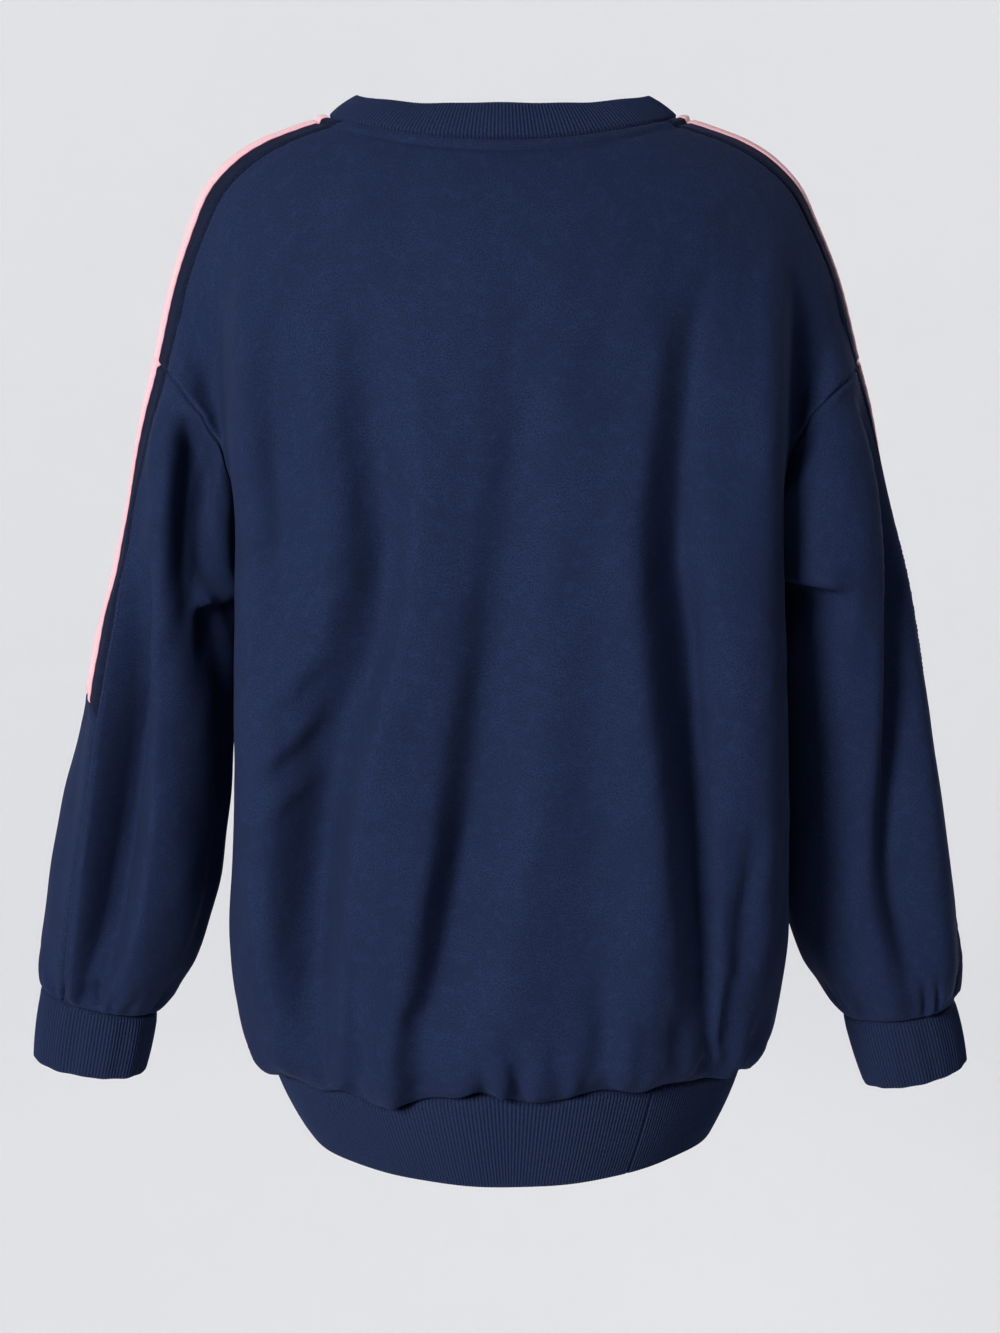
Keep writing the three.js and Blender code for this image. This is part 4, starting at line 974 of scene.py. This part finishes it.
def body_loop(z_seam):
    """The loop of the body at the hem: the back from the left, then the front from the right."""
    loops = []
    for face in (BACK, FRONT):
        share = face_shares(face)
        first, second = (LEFT, RIGHT) if face == BACK else (RIGHT, LEFT)
        for hand, part in ((first, share[::-1]), (second, share[1:-1])):
            z = np.full(part.shape, float(z_seam))
            points = torso_points(face, hand, part, z)
            if z_seam == HEM_SEAM_Z:
                points[:, 2] = hem_seam_z(part)
            loops.append(points)
    loop = np.concatenate(loops)
    loop[:, 0] += sway_x(loop[:, 2])
    hem_wave(loop)
    return loop


def even_loop(loop, count):
    wide = np.concatenate([loop, loop[:1]])
    run = np.concatenate([[0], np.cumsum(np.linalg.norm(np.diff(wide, axis=0), axis=1))])
    places = np.linspace(0, run[-1], count + 1)[:-1]
    return np.stack([np.interp(places, run, wide[:, k]) for k in range(3)], axis=-1)


def collar_edge(loop):
    inward = unit(loop * np.array([-1, -1, 0]))
    backness = inward[:, 1]
    end = np.where(backness < 0, COLLAR["back"], COLLAR["front"])
    lean = np.radians(mix(COLLAR["side"], end, backness**2))[:, None]
    upwards = np.array([0, 0, 1]) * COLLAR["height"] * np.cos(lean)
    return loop + inward * COLLAR["height"] * np.sin(lean) + upwards


def line_beside(name, edge, distance):
    """A line on a sewn piece, a distance in from one edge, with the directions out of the cloth."""
    outer, normals, _ = worktable["surfaces"][name]
    if edge in ("top", "bottom"):
        outer, normals = outer.transpose(1, 0, 2), normals.transpose(1, 0, 2)
    if edge in ("right", "bottom"):
        outer, normals = outer[:, ::-1], normals[:, ::-1]
    run = lengths(outer, 1)
    values = np.concatenate([outer, normals], axis=-1)
    found = [[np.interp(distance, at, row[:, k]) for k in range(6)] for at, row in zip(run, values)]
    found = np.stack(found)
    return found[:, :3], unit(found[:, 3:])


def stitch_line(line, normals, sizes, sides=5):
    """A row of thread: one short rounded length for each stitch, sunk a little at its ends."""
    run = lengths(line[None], 1)[0]
    pitch = (sizes.stitch_length + sizes.stitch_gap) / MM
    count = int(run[-1] / pitch)
    radius = sizes.thread / MM / 2
    points, faces = [], []
    profile = ((0.0, 0.35, -0.9), (0.18, 0.95, -0.1), (0.5, 1.0, 0.2), (0.82, 0.95, -0.1), (1.0, 0.35, -0.9))
    for i in range(count):
        start = i * pitch + 0.3
        first = len(points)
        for share, wide, rise in profile:
            at = start + share * sizes.stitch_length / MM
            centre = np.array([np.interp(at, run, line[:, k]) for k in range(3)])
            ahead = np.array([np.interp(at + 0.4, run, line[:, k]) for k in range(3)])
            out = unit(np.array([np.interp(at, run, normals[:, k]) for k in range(3)]))
            side = unit(np.cross(unit(ahead - centre), out))
            for s in range(sides):
                turn = 2 * math.pi * s / sides
                lifted = out * (rise * radius + wide * radius * math.sin(turn))
                points.append(centre + lifted + side * wide * radius * math.cos(turn))
        for ring in range(len(profile) - 1):
            for s in range(sides):
                a, b = first + ring * sides + s, first + ring * sides + (s + 1) % sides
                faces.append((a, a + sides, b + sides, b))
        faces.append(tuple(first + s for s in range(sides)))
        faces.append(tuple(first + (len(profile) - 1) * sides + s for s in reversed(range(sides))))
    return points, faces


def sew(name, lines, material):
    """Joins rows of stitches into one piece of sewing."""
    sizes = bpy.context.scene.sweatshirt_sizes
    points, faces = [], []
    for line, normals in lines:
        more, sides = stitch_line(line, normals, sizes)
        faces += [tuple(v + len(points) for v in side) for side in sides]
        points += more
    mesh = bpy.data.meshes.new(name)
    mesh.from_pydata([tuple(p * MM) for p in points], [], faces)
    mesh.validate()
    mesh.shade_smooth()
    piece = bpy.data.objects.new(name, mesh)
    bpy.context.scene.collection.objects.link(piece)
    piece.data.materials.append(material)
    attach(piece, "root")
    return piece


class Value:
    """A socket in an expression: arithmetic on it adds the nodes that work it out."""

    def __init__(self, shader, socket):
        self.shader, self.socket = shader, socket

    def _math(self, operation, *others):
        node = self.shader.node("ShaderNodeMath", {"operation": operation}, dict(enumerate(others)))
        return Value(self.shader, node.outputs[0])

    def __add__(self, other):
        return self._math("ADD", self, other)

    def __sub__(self, other):
        return self._math("SUBTRACT", self, other)

    def __rsub__(self, other):
        return self._math("SUBTRACT", other, self)

    def __mul__(self, other):
        return self._math("MULTIPLY", self, other)

    def __truediv__(self, other):
        return self._math("DIVIDE", self, other)

    def __pow__(self, other):
        return self._math("POWER", self, other)

    __radd__, __rmul__ = __add__, __mul__

    def sine(self):
        return self._math("SINE", self)

    def size(self):
        return self._math("ABSOLUTE", self)

    def fraction(self):
        return self._math("FRACT", self)

    def above(self, low, high):
        """Rises from 0 at low to 1 at high."""
        node = self.shader.node(
            "ShaderNodeMapRange",
            {"interpolation_type": "SMOOTHSTEP"},
            {"Value": self, "From Min": low, "From Max": high},
        )
        return Value(self.shader, node.outputs["Result"])


class Shader:
    """A material under construction, with the cloth's own coordinates in metres."""

    def __init__(self, name):
        self.material = bpy.data.materials.new(name)
        self.material.use_nodes = True
        self.tree = self.material.node_tree
        self.tree.nodes.clear()
        self.output = self.node("ShaderNodeOutputMaterial")

    def node(self, kind, settings=None, sockets=None):
        node = self.tree.nodes.new(kind)
        for key, value in (settings or {}).items():
            setattr(node, key, value)
        for key, value in (sockets or {}).items():
            if isinstance(value, Value):
                self.tree.links.new(value.socket, node.inputs[key])
            else:
                node.inputs[key].default_value = value
        return node

    def value(self, node, output=0):
        return Value(self, node.outputs[output])

    def cloth_place(self):
        return self.value(self.node("ShaderNodeUVMap", {"uv_map": "cloth"}))

    def split(self, vector):
        node = self.node("ShaderNodeSeparateXYZ", None, {0: vector})
        return self.value(node, 0), self.value(node, 1)

    def mark(self, name):
        return self.value(self.node("ShaderNodeAttribute", {"attribute_name": name}), "Fac")

    def noise(self, place, per_metre, detail=2.0, roughness=0.5):
        sockets = {"Vector": place, "Scale": per_metre, "Detail": detail, "Roughness": roughness}
        return self.value(self.node("ShaderNodeTexNoise", {"noise_dimensions": "3D"}, sockets), "Fac")

    def blend(self, factor, first, second, kind="MIX"):
        node = self.node("ShaderNodeMix", {"data_type": "RGBA", "blend_type": kind}, {"Factor": factor})
        for key, value in ((6, first), (7, second)):
            if isinstance(value, Value):
                self.tree.links.new(value.socket, node.inputs[key])
            else:
                node.inputs[key].default_value = (*value, 1.0)
        return Value(self, node.outputs[2])

    def bump(self, height, distance, strength=1.0, below=None):
        sockets = {"Height": height, "Distance": distance, "Strength": strength}
        if below is not None:
            sockets["Normal"] = below
        return self.value(self.node("ShaderNodeBump", None, sockets))

    def finish(self, colour, roughness, normal, sheen=0.0, sheen_tint=(1.0, 1.0, 1.0), specular=0.3):
        sockets = {
            "Base Color": colour,
            "Roughness": roughness,
            "Normal": normal,
            "Sheen Weight": sheen,
            "Sheen Roughness": 0.4,
            "Sheen Tint": (*sheen_tint, 1.0),
            "Specular IOR Level": specular,
        }
        surface = self.node("ShaderNodeBsdfPrincipled", None, sockets)
        self.tree.links.new(surface.outputs[0], self.output.inputs[0])
        return self.material


def tint(colour, factor):
    return tuple(min(1.0, channel * factor) for channel in colour)


NAVY_SHEEN = (0.3, 0.42, 0.85)


def jersey(name, colour, fleck, inside):
    """Brushed jersey: knitted face, uneven dye, loose fibres, and a looped inside."""
    shader = Shader(name)
    place = shader.cloth_place()
    across, down = shader.split(place)
    mottle = shader.noise(place, 900, 3, 0.65)
    cloud = shader.noise(place, 26, 3, 0.55)
    lint = shader.noise(place, 420, 1, 0.4).above(0.735, 0.78)
    worn = shader.mark("worn")
    patch = shader.noise(place, 130, 2, 0.6)
    shade = shader.blend(mottle.above(0.3, 0.7), tint(colour, 0.58), tint(colour, 1.38))
    shade = shader.blend(cloud.above(0.35, 0.65) * 0.4, shade, tint(colour, 0.78))
    shade = shader.blend(patch.above(0.5, 0.7) * 0.3, shade, tint(colour, 1.45))
    shade = shader.blend(lint * 0.25 + worn * mottle.above(0.45, 0.75) * 0.35, shade, fleck)
    shade = shader.blend(shader.mark("inside"), shade, inside)
    wale = ((across * (1 / 0.0013)).fraction() - 0.5).size()
    knit = (down * (2 * math.pi / 0.00105) + wale * 5.2).sine()
    fuzz = shader.noise(place, 1500, 2, 0.7)
    normal = shader.bump(fuzz, 0.00028, 0.5, below=shader.bump(knit * 0.5 + wale, 0.00012, 0.5))
    return shader.finish(shade, 0.86 + fuzz * 0.12, normal, sheen=0.05, sheen_tint=NAVY_SHEEN, specular=0.05)


def rib_knit(name, colour, fleck):
    """Ribbed knit: painted shade in the furrows and a little painted light on the crests, with a knitted
    face on each rib.
    """
    shader = Shader(name)
    place = shader.cloth_place()
    _, down = shader.split(place)
    rib = shader.mark("rib")
    mottle = shader.noise(place, 800, 3, 0.65)
    # Painted shade: the furrows between the ribs are darkened and the crests lightened a little, standing in
    # for how light falls on the ribs.
    shade = shader.blend(rib.above(0.05, 0.8), tint(colour, 0.42), tint(colour, 1.12))
    shade = shader.blend(mottle.above(0.35, 0.7) * 0.3, shade, fleck)
    shade = shader.blend(shader.mark("worn") * mottle.above(0.4, 0.7) * 0.35, shade, fleck)
    knit = (down * (2 * math.pi / 0.0012)).sine()
    fuzz = shader.noise(place, 1300, 2, 0.7)
    normal = shader.bump(fuzz, 0.00028, 0.5, below=shader.bump(knit * rib, 0.00016, 0.5))
    return shader.finish(shade, 0.87 + fuzz * 0.1, normal, sheen=0.05, sheen_tint=NAVY_SHEEN, specular=0.05)


def woven_tape(name, colour, edge_colour):
    """Woven tape: a fine twill with firmer, slightly deeper edges."""
    shader = Shader(name)
    place = shader.cloth_place()
    across, down = shader.split(place)
    edge = shader.mark("selvedge")
    mottle = shader.noise(place, 1100, 2, 0.6)
    cloud = shader.noise(place, 60, 2, 0.5)
    twill = ((across + down) * (2 * math.pi / 0.0011)).sine()
    shade = shader.blend(twill.above(-0.9, 0.9), tint(colour, 0.93), tint(colour, 1.04))
    shade = shader.blend(mottle.above(0.35, 0.75) * 0.35, shade, tint(colour, 0.86))
    shade = shader.blend(cloud.above(0.4, 0.75) * 0.25, shade, edge_colour)
    shade = shader.blend(edge, shade, edge_colour)
    cord = (down * (2 * math.pi / 0.0016)).sine()
    height = twill * (1 - edge) + cord * edge * 1.6
    normal = shader.bump(mottle, 0.0002, 0.4, below=shader.bump(height, 0.00014, 0.6))
    return shader.finish(shade, 0.74 + mottle * 0.14, normal, sheen=0.1, specular=0.3)


def sewing_thread(name, colour):
    """Spun thread: twisted plies and a little lustre."""
    shader = Shader(name)
    place = shader.value(shader.node("ShaderNodeTexCoord"), "Object")
    ply = shader.noise(place, 2600, 2, 0.6)
    shade = shader.blend(ply.above(0.35, 0.7), tint(colour, 0.75), tint(colour, 1.25))
    return shader.finish(shade, 0.6 + ply * 0.2, shader.bump(ply, 0.0001, 0.5), sheen=0.03, specular=0.1)


def studio_paper(name, colour):
    shader = Shader(name)
    place = shader.value(shader.node("ShaderNodeTexCoord"), "Object")
    grain = shader.noise(place, 3, 2, 0.5)
    shade = shader.blend(grain, tint(colour, 0.99), tint(colour, 1.01))
    return shader.finish(shade, 0.9 + grain * 0.05, shader.bump(grain, 0.001, 0.05), specular=0.1)


finishes = {}


def cloth_finish(name):
    """The finish of a kind of cloth, made the first time it is asked for."""
    colours = bpy.context.scene.sweatshirt_colours
    fleck, inside = tuple(colours.fleck), tuple(colours.inside)
    makers = {
        "navy_fleece": lambda: jersey("brushed_fleece", tuple(colours.fleece), fleck, inside),
        "navy_insert": lambda: jersey("insert_jersey", tuple(colours.insert), fleck, inside),
        "navy_rib": lambda: rib_knit("knitted_rib", tuple(colours.rib), fleck),
        "pale_pink_tape": lambda: woven_tape("twill_tape", tuple(colours.tape), tuple(colours.tape_edge)),
        "navy_thread": lambda: sewing_thread("navy_thread", tuple(colours.thread)),
        "pink_thread": lambda: sewing_thread("pink_thread", tuple(colours.tape_edge)),
        "studio_paper": lambda: studio_paper("studio_paper", tuple(colours.paper)),
    }
    if name not in finishes:
        finishes[name] = makers[name]()
    return finishes[name]


def length(name, description, default):
    return bpy.props.FloatProperty(
        name=name,
        description=description,
        default=default,
        min=0.0,
        subtype="DISTANCE",
        unit="LENGTH",
        precision=5,
    )


def colour(name, description, default):
    return bpy.props.FloatVectorProperty(
        name=name, description=description, default=default, size=3, min=0.0, max=1.0, subtype="COLOR"
    )


class SweatshirtSizes(bpy.types.PropertyGroup):
    fleece: length("Fleece", "Thickness of the fleece", 0.0018)
    rib_cloth: length("Rib", "Thickness of the doubled rib", 0.0026)
    tape: length("Tape", "Thickness of the tape", 0.0009)
    rib_pitch: length("Rib pitch", "Distance from rib to rib", 0.0023)
    rib_rise: length("Rib height", "Height of a rib over its furrow", 0.0009)
    seam_depth: length("Seam depth", "How far the cloth rolls in at a seam", 0.0021)
    stitch_length: length("Stitch", "Length of one visible stitch", 0.0025)
    stitch_gap: length("Stitch gap", "Gap between two stitches", 0.0008)
    thread: length("Thread", "Thickness of the sewing thread", 0.0006)
    fold_strength: bpy.props.FloatProperty(
        name="Fold strength",
        description="How deep the smaller folds are",
        default=1.0,
        min=0.0,
        max=2.0,
        subtype="FACTOR",
    )


class SweatshirtColours(bpy.types.PropertyGroup):
    fleece: colour("Fleece", "Colour of the body and the sleeves", (0.0112, 0.0190, 0.0525))
    fleck: colour("Loose fibres", "Colour of loose fibres and of worn edges", (0.030, 0.046, 0.100))
    inside: colour("Inside", "Colour of the inside of the fleece", (0.015, 0.021, 0.045))
    rib: colour("Rib", "Colour of the collar, cuffs and hem", (0.0106, 0.0180, 0.050))
    insert: colour("Insert", "Colour of the inserts under the tapes", (0.006, 0.009, 0.024))
    tape: colour("Tape", "Colour of the tapes", (0.86, 0.53, 0.57))
    tape_edge: colour("Tape edge", "Colour of the tapes' stitched edges", (0.76, 0.41, 0.46))
    thread: colour("Thread", "Colour of the navy thread", (0.0085, 0.0125, 0.032))
    paper: colour("Backdrop", "Colour of the floor and backdrop", (0.74, 0.745, 0.76))


class BodyOperator(bpy.types.Operator):
    """Cut and fold the back and the front of the body"""

    bl_idname = "sweatshirt.body"
    bl_label = "Body panels"

    def execute(self, context):
        for name, area, cut in (("back_panel", 0.338, (0.66, 0.64)), ("front_panel", 0.308, (0.63, 0.62))):
            piece = plain_piece(name, name)
            dress(piece, cloth_finish("navy_fleece"), name)
        return {"FINISHED"}


class SleevesOperator(bpy.types.Operator):
    """Cut and fold both sleeves and the strips that carry their inserts on"""

    bl_idname = "sweatshirt.sleeves"
    bl_label = "Sleeves"

    def execute(self, context):
        for side in HAND_NAMES.values():
            piece = plain_piece(f"{side}_sleeve", "sleeve")
            dress(piece, cloth_finish("navy_fleece"), f"{side}_sleeve")
            piece = plain_piece(f"{side}_sleeve_strip", "sleeve_strip")
            dress(piece, cloth_finish("navy_fleece"), f"{side}_sleeve_strip")
        return {"FINISHED"}


class InsertsOperator(bpy.types.Operator):
    """Cut the inserts that run over the shoulders and down the sleeves"""

    bl_idname = "sweatshirt.inserts"
    bl_label = "Inserts"

    def execute(self, context):
        for side in HAND_NAMES.values():
            for place, cut in (("shoulder", (0.064, 0.222)), ("sleeve", (0.07, 0.238))):
                piece = plain_piece(f"{side}_{place}_insert", f"{place}_insert")
                dress(piece, cloth_finish("navy_insert"), f"{side}_{place}_insert")
        return {"FINISHED"}


class TapesOperator(bpy.types.Operator):
    """Lay one broad tape on each insert and sew its edges down"""

    bl_idname = "sweatshirt.tapes"
    bl_label = "Tapes"

    def execute(self, context):
        sizes = context.scene.sweatshirt_sizes
        for side in HAND_NAMES.values():
            for place, cut in (("shoulder", (0.034, 0.222)), ("sleeve", (0.037, 0.238))):
                name = f"{side}_{place}_band"
                cloth = pattern()[f"{side}_{place}_insert"]
                keep = np.where(np.abs(ACROSS) <= BAND_EDGE + 1e-6)[0]
                part = Cloth(cloth.grid[:, keep])
                part.normals = cloth.normals[:, keep]
                grid, normals = refine(part, 8, 60)
                away = edge_distances(grid)
                side_near = np.minimum(away["left"], away["right"])
                end_near = np.minimum(away["top"], away["bottom"])
                tape = sizes.tape / MM
                lift = 0.9 + tape * smooth(0, 0.9, side_near) ** 0.5 - 0.3
                lift -= 0.35 * np.exp(-(((side_near - 2.2) / 0.6) ** 2))
                lift -= (sizes.seam_depth / MM) * (1 - smooth(0, 2.6, end_near) ** 0.7)
                run = away["top"]
                lift += 0.12 * np.sin(run / 1.6 + 2 * np.sin(run / 13)) * np.exp(-((side_near / 4) ** 2))
                if place == "shoulder":
                    apart = distance_to(worktable["loop"], grid)
                    lift += neck_band_lift(apart)
                outer = grid + normals * lift[..., None]
                inner = outer - normals * tape
                worktable["surfaces"][name] = (outer, normals, grid)
                edge = 1 - smooth(1.0, 2.0, side_near)
                marks = {"selvedge": (edge, edge)}
                piece = shell(name + "_cloth", outer, inner, marks=marks)
                lines = [line_beside(name, edge_name, 2.2) for edge_name in ("left", "right")]
                thread = sew(name + "_sewing", lines, cloth_finish("pink_thread"))
                dress(
                    piece, cloth_finish("pale_pink_tape"), name,
                )
        return {"FINISHED"}


class CollarOperator(bpy.types.Operator):
    """Knit the collar's ring and lean it in round the neck"""

    bl_idname = "sweatshirt.collar"
    bl_label = "Collar rib"

    def execute(self, context):
        sizes = context.scene.sweatshirt_sizes
        pattern()
        loop = even_loop(worktable["loop"], 420)[::-1]
        edge = collar_edge(loop)
        piece = ribbed_ring("collar_rib", loop, edge, sizes.rib_cloth / MM, 1.1)
        dress(piece, cloth_finish("navy_rib"), "collar_rib")
        return {"FINISHED"}


class HemOperator(bpy.types.Operator):
    """Knit the hem's ring and join it at the back"""

    bl_idname = "sweatshirt.hem"
    bl_label = "Hem rib"

    def execute(self, context):
        sizes = context.scene.sweatshirt_sizes
        seam, edge = body_loop(HEM_SEAM_Z), body_loop(HEM_EDGE_Z)
        piece = ribbed_ring("hem_rib", seam, edge, sizes.rib_cloth / MM, 1.6, join=0.357)
        dress(piece, cloth_finish("navy_rib"), "hem_rib")
        return {"FINISHED"}


class CuffsOperator(bpy.types.Operator):
    """Knit both cuffs"""

    bl_idname = "sweatshirt.cuffs"
    bl_label = "Cuffs"

    def execute(self, context):
        sizes = context.scene.sweatshirt_sizes
        turn = np.linspace(0, 2 * np.pi, 241)[:-1]
        for hand, side in HAND_NAMES.items():
            rings = []
            for ring in ("seam", "edge"):
                points = cuff_points(hand, CUFFS[hand][ring], turn if hand == LEFT else turn[::-1])
                points[:, 0] += sway_x(points[:, 2])
                rings.append(points)
            piece = ribbed_ring(f"{side}_cuff", *rings, sizes.rib_cloth / MM, 1.2)
            dress(piece, cloth_finish("navy_rib"), f"{side}_cuff")
        return {"FINISHED"}


class SewingOperator(bpy.types.Operator):
    """Sew the rows of stitches beside the seams"""

    bl_idname = "sweatshirt.sewing"
    bl_label = "Sewing"

    def execute(self, context):
        neck = []
        for name in ("back_panel", "front_panel", "left_shoulder_insert", "right_shoulder_insert"):
            line, normals = line_beside(name, "top", NECK_BAND)
            near = distance_to(worktable["loop"], line) < NECK_BAND + 1.5
            neck.append((line[near], normals[near]))
        sew("neck_sewing", neck, cloth_finish("navy_thread"))
        for side in HAND_NAMES.values():
            lines = [line_beside(f"{side}_sleeve", edge, 4.5) for edge in ("left", "right")]
            sew(f"{side}_sleeve_sewing", lines, cloth_finish("navy_thread"))
        return {"FINISHED"}


class StageOperator(bpy.types.Operator):
    """Set up the pale sweep, the soft lights and the camera"""

    bl_idname = "sweatshirt.stage"
    bl_label = "Stage"

    def execute(self, context):
        self.sweep(context)
        target = Vector((0.002, 0, -0.367))
        self.light(context, "key_light", (1.4, 2.32, 0.45), target, 0.9, 101, (1.0, 0.985, 0.97))
        self.light(context, "front_light", (-1.6, -2.4, 0.4), target, 1.8, 10, (1.0, 1.0, 1.0))
        wall = Vector((0, -6, -1.2))
        self.light(context, "left_wall_light", (3.0, -2.2, 3.0), wall, 2.2, 122, (1.0, 1.0, 1.0))
        self.light(context, "right_wall_light", (-3.0, -2.2, 3.0), wall, 2.2, 122, (1.0, 1.0, 1.0))
        context.scene.view_settings.view_transform = "Standard"
        self.camera(context, target)
        return {"FINISHED"}

    def sweep(self, context):
        """A round floor that curves up into a wall on every side."""
        profile = [(0.0, -1.75), (2.0, -1.75), (4.0, -1.75)]
        bend = np.linspace(0.1, math.pi / 2, 12)
        profile += [(4.0 + 2.5 * math.sin(t), 0.75 - 2.5 * math.cos(t)) for t in bend]
        profile.append((6.5, 4.5))
        turns = np.linspace(0, 2 * math.pi, 97)[:-1]
        points = [(r * math.cos(t), r * math.sin(t), z) for r, z in profile[1:] for t in turns]
        points.append((0, 0, -1.75))
        faces = []
        for ring in range(len(profile) - 2):
            for s in range(96):
                a, b = ring * 96 + s, ring * 96 + (s + 1) % 96
                faces.append((a, b, b + 96, a + 96))
        faces += [(s, (s + 1) % 96, len(points) - 1)[::-1] for s in range(96)]
        mesh = bpy.data.meshes.new("studio_sweep")
        mesh.from_pydata(points, [], faces)
        mesh.shade_smooth()
        floor = bpy.data.objects.new("studio_sweep", mesh)
        context.scene.collection.objects.link(floor)
        mesh.materials.append(cloth_finish("studio_paper"))
        world = bpy.data.worlds.new("studio_light")
        world.use_nodes = True
        world.node_tree.nodes["Background"].inputs[0].default_value = (0.92, 0.95, 1.0, 1.0)
        world.node_tree.nodes["Background"].inputs[1].default_value = 0.08
        context.scene.world = world

    def light(self, context, name, place, target, size, power, tone):
        lamp = bpy.data.lights.new(name, "AREA")
        lamp.shape, lamp.size, lamp.energy, lamp.color = "DISK", size, power, tone
        holder = bpy.data.objects.new(name, lamp)
        holder.location = place
        holder.rotation_euler = (target - Vector(place)).to_track_quat("-Z", "Y").to_euler()
        context.scene.collection.objects.link(holder)

    def camera(self, context, target):
        elevation, distance = math.radians(10.5), 2.03
        camera = bpy.data.cameras.new("camera")
        camera.sensor_width, camera.lens = 36, 80.6
        camera.clip_end = 50
        holder = bpy.data.objects.new("camera", camera)
        holder.location = target + Vector((0, math.cos(elevation), math.sin(elevation))) * distance
        holder.rotation_euler = (target - holder.location).to_track_quat("-Z", "Y").to_euler()
        context.scene.collection.objects.link(holder)
        context.scene.camera = holder


STEPS = (
    StageOperator, BodyOperator, SleevesOperator, InsertsOperator, TapesOperator,
    CollarOperator, HemOperator, CuffsOperator, SewingOperator,
)


class SweatshirtPanel(bpy.types.Panel):
    bl_idname = "VIEW3D_PT_sweatshirt"
    bl_label = "Crewneck sweatshirt"
    bl_space_type = "VIEW_3D"
    bl_region_type = "UI"
    bl_category = "Sweatshirt"

    def draw(self, context):
        for group in (context.scene.sweatshirt_sizes, context.scene.sweatshirt_colours):
            box = self.layout.box()
            for name in group.bl_rna.properties.keys():
                if name not in ("rna_type", "name"):
                    box.prop(group, name)
        for step in STEPS:
            self.layout.operator(step.bl_idname)


CLASSES = (SweatshirtSizes, SweatshirtColours, *STEPS, SweatshirtPanel)


def register():
    for item in CLASSES:
        bpy.utils.register_class(item)
    bpy.types.Scene.sweatshirt_sizes = bpy.props.PointerProperty(type=SweatshirtSizes)
    bpy.types.Scene.sweatshirt_colours = bpy.props.PointerProperty(type=SweatshirtColours)


def unregister():
    del bpy.types.Scene.sweatshirt_colours
    del bpy.types.Scene.sweatshirt_sizes
    for item in reversed(CLASSES):
        bpy.utils.unregister_class(item)


def main():
    register()
    bpy.ops.sweatshirt.stage()
    bpy.ops.sweatshirt.body()
    bpy.ops.sweatshirt.sleeves()
    bpy.ops.sweatshirt.inserts()
    bpy.ops.sweatshirt.tapes()
    bpy.ops.sweatshirt.collar()
    bpy.ops.sweatshirt.hem()
    bpy.ops.sweatshirt.cuffs()
    bpy.ops.sweatshirt.sewing()
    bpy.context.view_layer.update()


if __name__ == "__main__":
    main()
